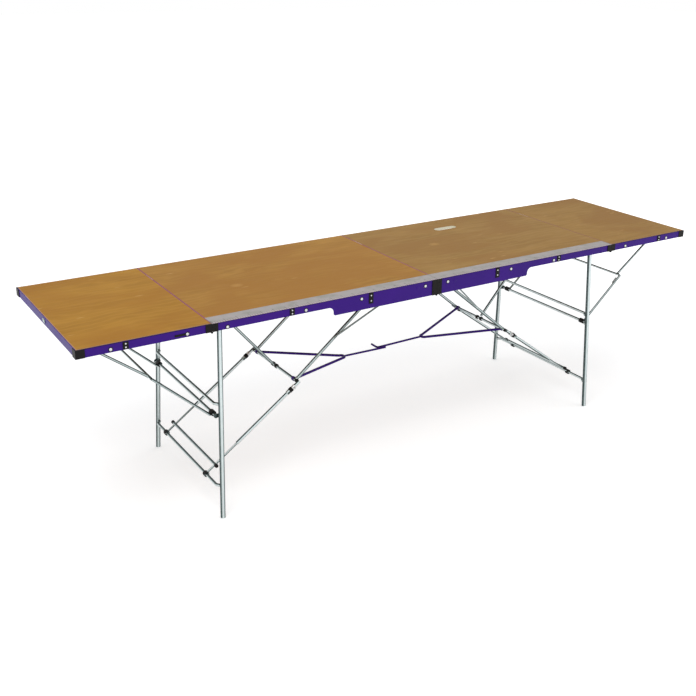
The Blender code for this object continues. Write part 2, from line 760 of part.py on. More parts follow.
def link_ear_outline():
    """Side view of a bracket ear: a bar with a round-bottomed groove for the link's pin."""
    pivot = link_pivot()
    top = UNDERSIDE - FIT_GAP
    bottom = top - BRACKET_HEIGHT
    points = [(pivot.x - BRACKET_EAR_REACH, top), (pivot.x - BRACKET_EAR_REACH, bottom),
              (pivot.x + BRACKET_LENGTH, bottom), (pivot.x + BRACKET_LENGTH, top),
              (pivot.x + BRACKET_GROOVE_RADIUS, top)]
    for step in range(BEND_STEPS + 1):
        angle = math.pi * step / BEND_STEPS
        points.append((pivot.x + BRACKET_GROOVE_RADIUS * math.cos(angle),
                       pivot.y - BRACKET_GROOVE_RADIUS * math.sin(angle)))
    points.append((pivot.x - BRACKET_GROOVE_RADIUS, top))
    return points


def make_link_bracket(side, name, carrier):
    """Clip under the board whose two ears hold the link's pin in grooves."""
    pivot = link_pivot()
    top = UNDERSIDE - 2 * FIT_GAP
    reach = BRACKET_EAR_GAP + BRACKET_EAR_THICKNESS / 2
    clip = block(at(side, (pivot.x + BRACKET_BASE_START, top - BRACKET_BASE_THICKNESS), -reach),
                 at(side, (pivot.x + BRACKET_LENGTH - FIT_GAP, top), reach))
    for edge in EDGES.values():
        outline = [at(side, spot, edge * BRACKET_EAR_GAP) for spot in link_ear_outline()]
        fuse(clip, prism(outline, Vector((0, edge * BRACKET_EAR_THICKNESS, 0))))
    finish(clip, name, STEEL, carrier)


def pull_rod_arm_points(side, shift):
    """Route of the bent arms, from the near eye round the fork to the far eye."""
    eye_depth = lane(PULL_ROD_EYE_INSET)
    bend = knee()
    fork = Vector((FORK_FROM_MIDDLE, FORK_HEIGHT))
    start = bend + (fork - bend).normalized() * PULL_ROD_ARM_START
    points = [at(side, start, -eye_depth)]
    for step in range(-BEND_STEPS, BEND_STEPS + 1):
        angle = math.pi / 2 * step / BEND_STEPS
        distance = FORK_FROM_MIDDLE + FORK_HALF_WIDTH * (1 - math.cos(angle))
        points.append(at(side, (distance, FORK_HEIGHT), shift + FORK_HALF_WIDTH * math.sin(angle)))
    points.append(at(side, start, eye_depth))
    return points


def stem_points(side, shift, hooked):
    fork = (FORK_FROM_MIDDLE + FORK_HALF_WIDTH / 4, FORK_HEIGHT)
    if not hooked:
        end = (-PULL_ROD_END_PAST_MIDDLE, PULL_ROD_END_HEIGHT)
        return [at(side, fork, shift), at(side, end, shift)]
    elbow = HOOK_BEND_RADIUS - HOOK_PAST_MIDDLE
    points = [at(side, fork, shift)]
    for step in range(BEND_STEPS + 1):
        angle = math.pi / 2 * step / BEND_STEPS
        points.append(at(side, (elbow - HOOK_BEND_RADIUS * math.sin(angle), PULL_ROD_END_HEIGHT),
                         shift + HOOK_BEND_RADIUS * (1 - math.cos(angle))))
    points.append(at(side, (-HOOK_PAST_MIDDLE, PULL_ROD_END_HEIGHT), shift + HOOK_PRONG_LENGTH))
    return points


def make_pull_rod(side, name, carrier):
    shift = side * PULL_ROD_SIDE_SHIFT
    frame = bent_rod(pull_rod_arm_points(side, shift), PULL_ROD_RADIUS)
    fuse(frame, bent_rod(stem_points(side, shift, side == SIDES["right"]), PULL_ROD_RADIUS))
    half = PULL_ROD_EYE_LENGTH / 2
    for edge in EDGES.values():
        depth = edge * lane(PULL_ROD_EYE_INSET)
        fuse(frame, cross_rod(side, knee(), depth - half, depth + half, PULL_ROD_EYE_RADIUS))
        cut(frame, cross_rod(side, knee(), depth - half - CUT_OVERRUN,
                             depth + half + CUT_OVERRUN, BAR_RADIUS + RUNNING_GAP))
    finish(frame, name, PURPLE, carrier)


def make_leaf(word, side, main, leaf):
    make_leaf_top(side, word + "_leaf_top", leaf)
    make_leaf_end_rail(side, word + "_leaf_end_rail", leaf)
    for edge_word, edge in EDGES.items():
        place = word + "_" + edge_word
        make_leaf_long_rail(side, edge, place + "_leaf_rail", leaf)
        make_corner_cap(side, edge, place + "_corner_cap", leaf)
        make_hinge(side, edge, SEAM, LEAF_AXIS, RAIL_BOTTOM,
                   (place + "_leaf_hinge_outer", place + "_leaf_hinge_inner"), (leaf, main))


def make_main(word, side, main):
    make_main_top(side, word + "_main_top", main)
    make_strip(side, word + "_cutting_strip", main)
    make_leg_axle(side, word + "_leg_axle", main)
    make_link_bracket(side, word + "_link_bracket", main)
    for edge_word, edge in EDGES.items():
        make_main_long_rail(side, edge, word + "_" + edge_word + "_main_rail", main)


def make_leg_frame(word, side, legs):
    for edge_word, edge in EDGES.items():
        make_leg(side, edge, word + "_" + edge_word + "_leg", legs)
    make_cross_bar(side, UPPER_BAR_HEIGHT, UPPER_BAR_OFFSET, word + "_upper_leg_bar", legs)
    make_cross_bar(side, LOWER_BAR_HEIGHT, LOWER_BAR_OFFSET, word + "_lower_leg_bar", legs)


def make_half(word, side, main):
    make_main(word, side, main)
    leaf = body(word + "_leaf", at(side, (SEAM, LEAF_AXIS), 0), main)
    make_leaf(word, side, main, leaf)
    legs = body(word + "_legs", at(side, leg_pivot(), 0), main)
    make_leg_frame(word, side, legs)
    support = body(word + "_upper_support_pivot", at(side, support_pivot(), 0), leaf)
    make_upper_support(side, word + "_upper_leaf_support", support)
    foot = body(word + "_lower_support_pivot", at(side, support_foot(), 0), legs)
    make_lower_support(side, word + "_lower_leaf_support", foot)
    brace = body(word + "_upper_brace_pivot", at(side, brace_pivot(), 0), main)
    make_upper_brace(side, word + "_upper_brace", brace)
    hook = body(word + "_pull_rod_pivot", at(side, knee(), 0), brace)
    make_pull_rod(side, word + "_pull_rod", hook)
    strut = body(word + "_lower_brace_pivot", at(side, brace_foot(), 0), legs)
    make_lower_brace_rods(side, word + "_lower_brace_rods", strut)
    slider = body(word + "_brace_slider", at(side, brace_foot(), 0), strut)
    for edge_word, edge in EDGES.items():
        make_lower_brace_tube(side, edge, word + "_" + edge_word + "_brace_tube", slider)
    link = body(word + "_link_pivot", at(side, link_pivot(), 0), main)
    make_central_link(side, word + "_central_link", link)


def make_middle_hinges(left, right):
    for edge_word, edge in EDGES.items():
        make_hinge(1, edge, 0, MIDDLE_AXIS, DEEP_RAIL_BOTTOM,
                   (edge_word + "_middle_hinge_right", edge_word + "_middle_hinge_left"),
                   (right, left))


def main():
    clear_scene()
    left = body("left_half", (0, 0, MIDDLE_AXIS))
    right = body("right_half", (0, 0, MIDDLE_AXIS), left)
    make_half("left", SIDES["left"], left)
    make_half("right", SIDES["right"], right)
    make_middle_hinges(left, right)


main()
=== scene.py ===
"""Looks for the folding wallpaper pasting table: finishes, fittings, floor, light and camera.

All sizes are in metres. A spot is a pair, the distance from the table's middle seam and the height, and
is mirrored by the side of its half. Across the table, near is -Y and far is +Y.
"""

import json
import math

import bmesh
import bpy
from mathutils import Matrix, Vector


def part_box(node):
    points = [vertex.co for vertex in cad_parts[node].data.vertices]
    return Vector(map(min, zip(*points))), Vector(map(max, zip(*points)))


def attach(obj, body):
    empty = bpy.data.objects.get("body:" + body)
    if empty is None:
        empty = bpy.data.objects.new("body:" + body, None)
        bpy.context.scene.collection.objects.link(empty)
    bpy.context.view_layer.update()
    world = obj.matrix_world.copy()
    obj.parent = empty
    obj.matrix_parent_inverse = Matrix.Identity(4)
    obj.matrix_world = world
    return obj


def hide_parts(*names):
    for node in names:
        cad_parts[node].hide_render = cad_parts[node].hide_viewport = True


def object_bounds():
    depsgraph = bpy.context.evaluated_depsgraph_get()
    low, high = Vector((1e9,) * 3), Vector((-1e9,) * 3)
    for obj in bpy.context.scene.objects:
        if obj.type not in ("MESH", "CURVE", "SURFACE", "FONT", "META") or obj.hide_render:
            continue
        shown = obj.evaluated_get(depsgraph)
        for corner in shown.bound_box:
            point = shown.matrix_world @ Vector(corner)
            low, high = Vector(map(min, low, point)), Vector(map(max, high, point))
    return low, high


# Camera, fitted to the photograph
IMAGE_SIZE = 696
SENSOR_WIDTH = 36
FOCAL_PIXELS = 969.6
PRINCIPAL_ROW = 298
CAMERA_PLACE = (-2.3231, -3.3551, 2.0842)
CAMERA_YAW = 0.5654
CAMERA_PITCH = 0.3428
CAMERA_ROLL = 0.0135

# Studio
FLOOR_SIZE = 60
FLOOR_DROP = 0.0002
FLOOR_FADE = (1.9, 4.2)  # distances at which the floor's own glow starts and ends to rise
FLOOR_GLOW = 0.50
FLOOR_COLOURS = ((0.86, 0.86, 0.87), (0.90, 0.90, 0.90))
SKY_COLOUR = (0.84, 0.86, 0.88)
SKY_STRENGTH = 0.46
WHITE = (1, 1, 1, 1)
LAMPS = {  # place, target, size, power
    "key": ((-2.4, -2.2, 4.2), (-0.2, 0, 0.6), (3.0, 2.2), 84),
    "fill": ((3.2, -2.8, 3.2), (0, 0, 0.5), (3.0, 2.4), 36),
    "top": ((0.4, 1.0, 4.0), (0.4, 0.2, 0.7), (3.4, 1.6), 30),
}

# Colours
# The right half's tints are paler and bluer than the left's: partly the boards' own tone, partly painted sheen
BOARDS = {  # material's name, tint
    "left_leaf_top": ("plywood left leaf", (0.438, 0.214, 0.027)),
    "left_main_top": ("plywood left panel", (0.412, 0.207, 0.038)),
    "right_main_top": ("plywood right panel", (0.352, 0.198, 0.053)),
    "right_leaf_top": ("plywood right leaf", (0.352, 0.195, 0.049)),
}
WOOD_SHADES = ((0.80, 0.77, 0.70), (1.0, 1.0, 1.0), (1.13, 1.16, 1.30))  # dark, middle, light
WOOD_PATCH = (0.86, 0.78, 0.74)
WOOD_FLECK = (0.66, 0.42, 0.14)
KNOT_HALO = (0.62, 0.36, 0.11)
KNOT_CORE = (0.10, 0.035, 0.012)
PLY_COLOURS = ((0.52, 0.34, 0.15), (0.27, 0.14, 0.05))
SLOT_COLOUR = (0.84, 0.80, 0.62)
RIM_COLOUR = (0.66, 0.38, 0.30)
SEAM_COLOUR = (0.32, 0.07, 0.19)
# Zinc's dark and light colours are random tone on plain zinc, and on the tubes the painted shade along their sides
# and the painted highlight band
ZINC_DARK_AND_PAINTED_SHADE = (0.030, 0.052, 0.052)
ZINC_MIDDLE = (0.30, 0.37, 0.365)
ZINC_LIGHT_AND_PAINTED_HIGHLIGHT = (0.66, 0.73, 0.73)
ZINC_CLOUD = (0.26, 0.31, 0.30)
ZINC_SPANGLE = (0.60, 0.65, 0.65)
PURPLE_COLOURS = ((0.044, 0.0075, 0.225), (0.056, 0.0105, 0.265))
PURPLE_SCUFF = (0.10, 0.05, 0.30)
PURPLE_EDGE = (0.010, 0.002, 0.045)
BLACK_COLOURS = ((0.0050, 0.0045, 0.0042), (0.0120, 0.0105, 0.0100))
STRIP_COLOURS = ((0.30, 0.278, 0.268), (0.385, 0.355, 0.345))
STRIP_STAIN = (0.24, 0.235, 0.20)
STRIP_WARM = (0.48, 0.38, 0.40)
STRIP_EDGE = (0.60, 0.46, 0.52)
TICK_COLOUR = (0.06, 0.06, 0.055)
NICKEL_COLOURS = ((0.60, 0.61, 0.61), (0.78, 0.79, 0.79))

# Lines painted on the boards, strips and rails: a half width, or where an edge starts and ends to fade
SEAM_LINE = 0.0036
MIDDLE_LINE = 0.0032
SIDE_RIM = (0.0045, 0.0030)
END_RIM = (0.0080, 0.0062)
RAIL_SIDE = (0.002, 0.001)
RAIL_TOP_LINE = (0.0028, 0.0018)
STRIP_EDGE_LINE = (0.0046, 0.0030)
TICKS = ((0.010, 0.0010, 0.011), (0.050, 0.0016, 0.024))  # pitch, width, length
TICK_FADE = 0.001
PLY_PITCH = 0.0030
SLOT_MIDDLE = 0.230
SLOT_REACH = (0.040, 0.030)

# Fittings on the rails, as distances from the middle of the table
MAIN_BOLTS = {"left": (0.058, 0.367, 0.617), "right": (0.057, 0.399, 0.648)}
LEAF_RIVETS = (1.099, 1.378)
DEEP_CLIP = 0.323
SHALLOW_CLIP = 0.677
LEAF_CLIP = 1.325
LATCH = 1.1265
LATCHED_RAILS = ("left_near", "right_far")
HINGE_RIVET_SHIFT = 0.0150

# Sizes of these fittings, with domed heads as (radius, depth)
SUNK = 0.0004
BOLT_HEIGHT = 0.808
BOLT_HEAD = (0.0058, 0.0038)
# The black disc behind each bolt head is partly a washer and partly a painted shadow ring round the head
WASHER_AND_SHADOW = (0.0088, 0.0011)
SCREW_HEAD = (0.0030, 0.0012)
HINGE_RIVET = (0.0032, 0.0012)
AXLE_COVER = (0.0088, 0.0012)
CLIP_SIZE = (0.021, 0.0022)  # width, depth
CLIP_ROUNDING = 0.0007
DEEP_CLIP_SPAN = (0.0465, 0.0025)  # its bottom and top, below the rail's top edge
CLIP_MARGINS = (0.002, 0.003)  # from the shallow rail's bottom and top edges
LATCH_SIZE = (0.040, 0.008)  # width, height
LATCH_DEPTH = 0.0018
LATCH_DROP = 0.003
LATCH_ROUNDING = 0.0008
END_CLASP_SIZE = (0.030, 0.014)  # width, height
END_CLASP_DEPTH = 0.0022
END_CLASP_ROUNDING = 0.0009

# Legs. The solid's radius is only for finding a leg's line from the box of its solid.
LEG_SOLID_RADIUS = 0.011
LEG_RADIUS = 0.0098
LEG_WALL = 0.0016
LEG_TOP_DEPTH = 0.300
LEG_SLEEVE = (0.0108, 0.026)  # radius, length
FOOT_PLUG_DEPTH = 0.006
FOOT_LIFT = 0.0006
AXLE_HOLE = 0.0055
AXLE_REACH = 0.3717
LUG_DEPTH = 0.3005
LUG_THICKNESS = 0.004
LUG_EYE_RADIUS = 0.0095
LEG_BARS = {"upper": (0.469, 0.014), "lower": (0.130, 0.012)}  # height, shift out of the legs' line
BAR_RADIUS = 0.006
BAR_GAP = 0.0005
BAR_STUB = 0.003
BAR_BEND = 0.019
BAR_HOLE = 0.0071

# Leaf supports. The pivot bar keeps the radius of the solid.
SUPPORT_PIVOT_RADIUS = 0.0055
SUPPORT_RADIUS = 0.0050
UPPER_SUPPORT_DEPTH = 0.250
UPPER_SUPPORT_REACH = 0.2635
LOWER_SUPPORT_DEPTH = 0.270
LOWER_SUPPORT_REACH = 0.3025
LOWER_SUPPORT_OFFSET = 0.012
SUPPORT_SLEEVE = (0.0085, 0.016)  # radius, length
SPRING_RADIUS = 0.0025
SPRING_POINTS = ((0.056, 0.2680), (0.050, 0.2615), (0.034, 0.2600), (0.020, 0.2600))  # down, across

# Braces, with places along a rod from its foot
STRUT_RADIUS = 0.0066
BRACE_DEPTH = 0.179
KNEE_REACH = 0.194
STAY_RADIUS = 0.0036
STAY_AT = 0.370
STAY_LIFT = 0.003
STAY_DEPTH = 0.317
ROD_DEPTH = 0.203
ROD_RADIUS = 0.0042
ROD_SPAN = (0.0083, 0.360)
ROD_EYE = (0.0095, 0.016)  # radius, length
ROD_BAR = (0.050, 0.004)  # along the rods, aside from them
ROD_BAR_REACH = 0.225
SLIDER_START = 0.169
SLIDER_PAST_KNEE = 0.006
SLIDER_END_WALL = 0.030
SLIDER_BORE = 0.0046
SLIDER_COLLAR = (0.0088, 0.452, 0.482)  # radius, start, end

# Central links and pull rods
LINK_END_FROM_KNEE = 0.0126
LINK_PIN = (0.0025, 0.013)  # radius, reach
LINK_NECK = (0.0021, 0.228)  # radius, length
LINK_RADIUS = 0.0060
LINK_SET_DOWN = 0.0022
PULL_RADIUS = 0.0057
PULL_STEM_RADIUS = 0.0046
PULL_EYE_DEPTH = 0.163
PULL_EYE = (0.0092, 0.012)  # radius, length
PULL_START = 0.0083
PULL_FORK = (0.217, 0.400)
PULL_FORK_HALF = 0.016
PULL_SHIFT = 0.008
PULL_END = (-0.006, 0.396)
PULL_HOOK = (0.029, 0.046, 0.010)  # reach past the middle, length of the prong, bend's radius

# Fittings on the tubes, with sleeves and collars as (bore, radius, length)
CAP_LENGTH = 0.012
CAP_WALL = 0.0018
CAP_EDGE = (0.0006, 0.0004)  # along, in radius
CAP_NOSE = 0.45  # its rounding, as a share of the cap's radius
CAP_STEPS = 4
KNEE_CAP_REACH = 0.1937
COLLAR_FROM_KNEE = 0.044
COLLAR = (0.0058, 0.0104, 0.015)
SLEEVE_FROM_KNEE = 0.029
SLEEVE = (0.0058, 0.0092, 0.016)
KNOB = (0.0048, 0.0085)
KNOB_SUNK = 0.0006
EYE_SLEEVE = (0.0093, 0.0112, 0.018)
SUPPORT_CLIP = (0.0058, 0.0112, 0.024)
LINK_CLIP_DEPTH = 0.0140
LINK_CLIP = (0.0054, 0.0094, 0.012)
RING_EDGE = 0.0007
SUNK_BORE = 0.9  # bore of a ring fused to its tube, as a share of the tube's radius

# How tubes and turned shapes are meshed
TUBE_SIDES = 28
TURNED_SIDES = 24
BEND_STEPS = 8
DOME_STEPS = 5
DOME_RIM = 0.25  # straight part of a domed head, as a share of its height
BLOCK_SEGMENTS = 3
END_ROUNDING = 0.0006
WELD_SWELL = 0.0016
WELD_LENGTH = 0.0035
WELD_SUNK = 0.0002
WELD_STEPS = 6
WELD_FROM_AXIS = 1.3  # where a strut's weld lies, in radii of the bar that it meets
MERGE_DISTANCE = 0.000001
SHARP_ANGLE = math.radians(35)
TUBE_ATTRIBUTE = "tube"  # the way round a tube as cosine and sine, and the way along it
TUBE_SHIFT = 5.3  # parts the pattern of one tube from the next
# The middle of the painted highlight band on every tube faces this way, close to the way to the camera
PAINTED_HIGHLIGHT_FACING = (-0.54, -0.80, 0.25)  # towards the middle of a tube's bright band

SIDES = {"left": -1, "right": 1}
EDGES = {"near": -1, "far": 1}

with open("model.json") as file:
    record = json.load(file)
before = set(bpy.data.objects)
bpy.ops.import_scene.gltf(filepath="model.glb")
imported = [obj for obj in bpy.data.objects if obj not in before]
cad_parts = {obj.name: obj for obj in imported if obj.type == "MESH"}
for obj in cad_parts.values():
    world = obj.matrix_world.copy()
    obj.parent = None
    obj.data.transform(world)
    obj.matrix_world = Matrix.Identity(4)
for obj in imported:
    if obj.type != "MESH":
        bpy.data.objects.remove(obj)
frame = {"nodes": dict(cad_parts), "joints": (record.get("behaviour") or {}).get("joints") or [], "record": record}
cad_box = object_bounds()
joints = {joint["name"]: joint for joint in frame["joints"]}
low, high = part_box("left_near_main_rail")
RAIL_FACE = -low[1]
RAIL_TOP = high[2]
DEEP_RAIL_BOTTOM = low[2]
RAIL_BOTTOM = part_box("left_near_leaf_rail")[0][2]
HINGE_FACE = cad_box[1][1]
HALF_LENGTH = cad_box[1][0]
SEAM = joints["right_leaf_fold"]["pos_m"][0]


class Nodes:
    """A material under construction: adds shader nodes and joins them."""

    def __init__(self, name):
        self.material = bpy.data.materials.new(name)
        self.material.use_nodes = True
        self.tree = self.material.node_tree
        self.shader = self.tree.nodes["Principled BSDF"]
        self.place = self.tree.nodes.new("ShaderNodeTexCoord").outputs["Object"]
        self.x, self.y, self.z = self.add("SeparateXYZ", {"Vector": self.place}).outputs

    def add(self, kind, inputs=None, **settings):
        node = self.tree.nodes.new("ShaderNode" + kind)
        for key, value in settings.items():
            setattr(node, key, value)
        for key, value in (inputs or {}).items():
            self.feed(node.inputs[key], value)
        return node

    def feed(self, socket, value):
        if isinstance(value, bpy.types.NodeSocket):
            self.tree.links.new(value, socket)
        elif isinstance(value, tuple) and socket.type == "RGBA":
            socket.default_value = (*value, 1)
        else:
            socket.default_value = value

    def math(self, operation, first, second=0.0):
        return self.add("Math", {0: first, 1: second}, operation=operation).outputs[0]

    def scaled(self, scale, place=None):
        """The object's coordinates, or another place, scaled along each axis."""
        place = self.place if place is None else place
        return self.add("Mapping", {"Vector": place, "Scale": scale}).outputs["Vector"]

    def noise(self, scale, detail=2.0, roughness=0.5, distortion=0.0, place=None):
        inputs = {"Vector": self.scaled(scale, place), "Scale": 1.0, "Detail": detail,
                  "Roughness": roughness, "Distortion": distortion}
        return self.add("TexNoise", inputs).outputs["Fac"]

    def cells(self, scale):
        return self.add("TexVoronoi", {"Vector": self.scaled(scale), "Scale": 1.0})

    def wave(self, scale, size, distortion):
        inputs = {"Vector": self.scaled(scale), "Scale": size, "Distortion": distortion,
                  "Detail": 3.0, "Detail Scale": 0.9, "Detail Roughness": 0.6}
        return self.add("TexWave", inputs, bands_direction="Y").outputs["Fac"]

    def span(self, value, start, end, to_start=0.0, to_end=1.0):
        """A value between start and end taken to between to_start and to_end."""
        return self.add("MapRange", {"Value": value, "From Min": start, "From Max": end,
                                     "To Min": to_start, "To Max": to_end}).outputs["Result"]

    def near_value(self, value, centre, reach):
        """1 where value lies within reach of centre, with a soft edge."""
        away = self.math("ABSOLUTE", self.math("SUBTRACT", value, centre))
        return self.span(away, reach, reach * 0.7)

    def mix(self, share, first, second, blend="MIX"):
        node = self.add("Mix", data_type="RGBA", blend_type=blend)
        self.feed(node.inputs[0], share)
        self.feed(node.inputs[6], first)
        self.feed(node.inputs[7], second)
        return node.outputs[2]

    def bump(self, height, strength, distance):
        node = self.add("Bump", {"Height": height, "Strength": strength, "Distance": distance})
        self.feed(self.shader.inputs["Normal"], node.outputs["Normal"])

    def finish(self, colour, roughness, metallic=0.0):
        self.feed(self.shader.inputs["Base Color"], colour)
        self.feed(self.shader.inputs["Roughness"], roughness)
        self.feed(self.shader.inputs["Metallic"], metallic)
        return self.material


def plywood_material(name, tint):
    """Varnished rotary-cut birch: flowing figure along the board, pale flecks, a few pin knots."""
    n = Nodes(name)
    dark, middle, light = WOOD_SHADES
    flow = n.noise((1.3, 5.0, 1.0), 4.0, 0.55, 2.2)
    figure = n.wave((1.3, 3.4, 1.0), 2.6, 13.0)
    fine = n.noise((14.0, 300.0, 1.0), 3.0, 0.6)
    patch = n.noise((1.6, 2.6, 1.0), 2.0, 0.5, 1.4)
    blotch = n.noise((3.2, 4.6, 1.0), 3.0, 0.6, 0.8)
    colour = n.mix(n.span(flow, 0.32, 0.66), dark, middle)
    colour = n.mix(n.span(figure, 0.50, 1.0, 0.0, 0.42), colour, light)
    colour = n.mix(n.span(blotch, 0.52, 0.70, 0.0, 0.40), colour, light)
    colour = n.mix(n.span(fine, 0.35, 0.75, 0.0, 0.07), colour, dark)
    colour = n.mix(n.span(patch, 0.56, 0.40, 0.0, 0.85), colour, WOOD_PATCH)
    colour = n.mix(1.0, tint, colour, "MULTIPLY")
    fleck = n.cells((6.0, 30.0, 1.0)).outputs["Distance"]
    fleck_here = n.math("MULTIPLY", n.span(fleck, 0.13, 0.05), n.span(blotch, 0.50, 0.62))
    colour = n.mix(n.math("MULTIPLY", fleck_here, 0.55), colour, WOOD_FLECK)
    knot = n.cells((2.1, 2.9, 1.0)).outputs["Distance"]
    colour = n.mix(n.span(knot, 0.075, 0.030, 0.0, 0.40), colour, KNOT_HALO)
    colour = n.mix(n.span(knot, 0.020, 0.008, 0.0, 0.80), colour, KNOT_CORE)
    colour = edge_colours(n, colour)
    n.bump(n.math("ADD", fine, n.math("MULTIPLY", figure, 0.4)), 0.05, 0.0004)
    n.shader.inputs["Specular IOR Level"].default_value = 0.06
    return n.finish(colour, n.span(fine, 0.3, 0.8, 0.46, 0.58))


def edge_colours(n, colour):
    """Plies on the board's edges, the stained lines along its seams and a pale line along its outer edges."""
    plies = n.math("FRACT", n.math("MULTIPLY", n.z, 1 / PLY_PITCH))
    ply_colour = n.mix(n.span(plies, 0.40, 0.55), *PLY_COLOURS)
    in_slot = n.span(n.math("ABSOLUTE", n.math("SUBTRACT", n.y, SLOT_MIDDLE)), *SLOT_REACH)
    ply_colour = n.mix(in_slot, ply_colour, SLOT_COLOUR)
    normal = n.add("NewGeometry").outputs["True Normal"]
    facing_up = n.math("ABSOLUTE", n.add("SeparateXYZ", {"Vector": normal}).outputs["Z"])
    on_edge = n.span(facing_up, 0.6, 0.4)
    away = n.math("ABSOLUTE", n.x)
    seam_line = n.math("ADD", n.near_value(away, SEAM, SEAM_LINE), n.near_value(away, 0.0, MIDDLE_LINE))
    fainter_right = n.span(n.x, SEAM * 0.9, SEAM * 0.8, 0.40, 0.90)
    seam_line = n.math("MULTIPLY", seam_line, fainter_right)
    rim = n.span(n.math("ABSOLUTE", n.y), *(RAIL_FACE - inset for inset in SIDE_RIM))
    end_rim = n.span(away, *(HALF_LENGTH - inset for inset in END_RIM))
    rim = n.math("MULTIPLY", n.math("MAXIMUM", rim, end_rim), 0.8)
    colour = n.mix(rim, colour, RIM_COLOUR)
    colour = n.mix(seam_line, colour, SEAM_COLOUR)
    return n.mix(on_edge, colour, ply_colour)


def zinc_colours(n, tones_and_painted_light):
    """Colours of bright zinc, dark to middle to light as the bands run, clouded by wear. On plain zinc the bands
    are random drawing lines; on a tube they are painted shade along its sides and a painted highlight band.
    """
    cloud = n.noise((26.0, 26.0, 26.0), 4.0, 0.6)
    cell_colour = n.cells((160.0, 160.0, 160.0)).outputs["Color"]
    spangle = n.add("SeparateColor", {"Color": cell_colour}).outputs[0]
    colour = n.mix(n.span(tones_and_painted_light, 0.40, 0.50), ZINC_DARK_AND_PAINTED_SHADE, ZINC_MIDDLE)
    colour = n.mix(n.span(tones_and_painted_light, 0.51, 0.62), colour, ZINC_LIGHT_AND_PAINTED_HIGHLIGHT)
    colour = n.mix(n.span(cloud, 0.45, 0.75, 0.0, 0.22), colour, ZINC_CLOUD)
    colour = n.mix(n.span(spangle, 0.0, 1.0, 0.0, 0.10), colour, ZINC_SPANGLE)
    n.bump(cloud, 0.08, 0.0005)
    return n.finish(colour, n.span(spangle, 0.0, 1.0, 0.30, 0.42), 0.85)


def tube_material():
    """Zinc-plated tube with painted shade as dark lines along its two sides and a painted highlight band between
    them, set towards the camera's side and moved a little by noise.
    """
    n = Nodes("zinc tube with painted highlight and shade")
    drawn = n.add("Attribute", attribute_name=TUBE_ATTRIBUTE).outputs["Vector"]
    stray = n.noise((0.8, 0.8, 0.9), 2.0, 0.45, place=drawn)
    cosine, sine, _ = n.add("SeparateXYZ", {"Vector": drawn}).outputs
    turn = n.math("SUBTRACT", n.math("MULTIPLY", cosine, 0.95), n.math("MULTIPLY", sine, 0.30))
    painted_light_share = n.math("MULTIPLY", turn, turn)
    shift = n.span(stray, 0.3, 0.7, -0.22, 0.22)
    return zinc_colours(n, n.span(n.math("ADD", painted_light_share, shift), 0.0, 1.0, 0.13, 0.62))


def zinc_material():
    n = Nodes("zinc plated steel")
    return zinc_colours(n, n.noise((40.0, 60.0, 40.0), 2.0, 0.5))


def purple_material():
    n = Nodes("purple powder coat")
    peel = n.noise((520.0, 520.0, 520.0), 2.0, 0.5)
    cloud = n.noise((6.0, 6.0, 6.0), 2.0, 0.5)
    scuff = n.noise((60.0, 60.0, 240.0), 4.0, 0.7)
    colour = n.mix(n.span(cloud, 0.3, 0.7), *PURPLE_COLOURS)
    colour = n.mix(n.span(scuff, 0.66, 0.80, 0.0, 0.25), colour, PURPLE_SCUFF)
    on_long_rail = n.span(n.math("ABSOLUTE", n.y), *(RAIL_FACE - inset for inset in RAIL_SIDE))
    at_top = n.span(n.z, *(RAIL_TOP - drop for drop in RAIL_TOP_LINE), 0.0, 0.8)
    colour = n.mix(n.math("MULTIPLY", on_long_rail, at_top), colour, PURPLE_EDGE)
    n.bump(peel, 0.18, 0.0002)
    n.shader.inputs["Specular IOR Level"].default_value = 0.14
    return n.finish(colour, n.span(cloud, 0.3, 0.7, 0.36, 0.44))


def plastic_material():
    n = Nodes("black moulded plastic")
    grain = n.noise((900.0, 900.0, 900.0), 2.0, 0.6)
    colour = n.mix(n.span(grain, 0.3, 0.7), *BLACK_COLOURS)
    n.bump(grain, 0.25, 0.0002)
    n.shader.inputs["Specular IOR Level"].default_value = 0.14
    return n.finish(colour, n.span(grain, 0.3, 0.7, 0.42, 0.55))


def strip_material():
    """Brushed aluminium cutting strip with a scale along its outer edge."""
    n = Nodes("brushed aluminium strip")
    brushed = n.noise((8.0, 1500.0, 40.0), 3.0, 0.6)
    stain = n.noise((14.0, 26.0, 1.0), 4.0, 0.65)
    warm = n.noise((30.0, 30.0, 1.0), 2.0, 0.5)
    colour = n.mix(n.span(brushed, 0.25, 0.75), *STRIP_COLOURS)
    colour = n.mix(n.span(stain, 0.46, 0.66, 0.0, 0.75), colour, STRIP_STAIN)
    colour = n.mix(n.span(warm, 0.50, 0.72, 0.0, 0.30), colour, STRIP_WARM)
    inward = n.math("ADD", n.y, RAIL_FACE)
    colour = n.mix(n.span(inward, *STRIP_EDGE_LINE, 0.0, 0.6), colour, STRIP_EDGE)
    colour = n.mix(n.math("MULTIPLY", scale_ticks(n, inward), 0.8), colour, TICK_COLOUR)
    n.bump(brushed, 0.10, 0.0002)
    n.shader.inputs["Specular IOR Level"].default_value = 0.30
    return n.finish(colour, n.span(brushed, 0.25, 0.75, 0.40, 0.52), 0.10)


def scale_ticks(n, inward):
    """Lines every centimetre, longer every fifth, measured from the middle seam."""

    def marks(pitch, width, length):
        phase = n.math("SUBTRACT", n.math("FRACT", n.math("MULTIPLY", n.x, 1 / pitch)), 0.5)
        line = n.span(n.math("ABSOLUTE", phase), 0.5 - width / pitch, 0.5 - width * 0.6 / pitch)
        return n.math("MULTIPLY", line, n.span(inward, length, length - TICK_FADE))

    return n.math("MAXIMUM", *(marks(*sizes) for sizes in TICKS))


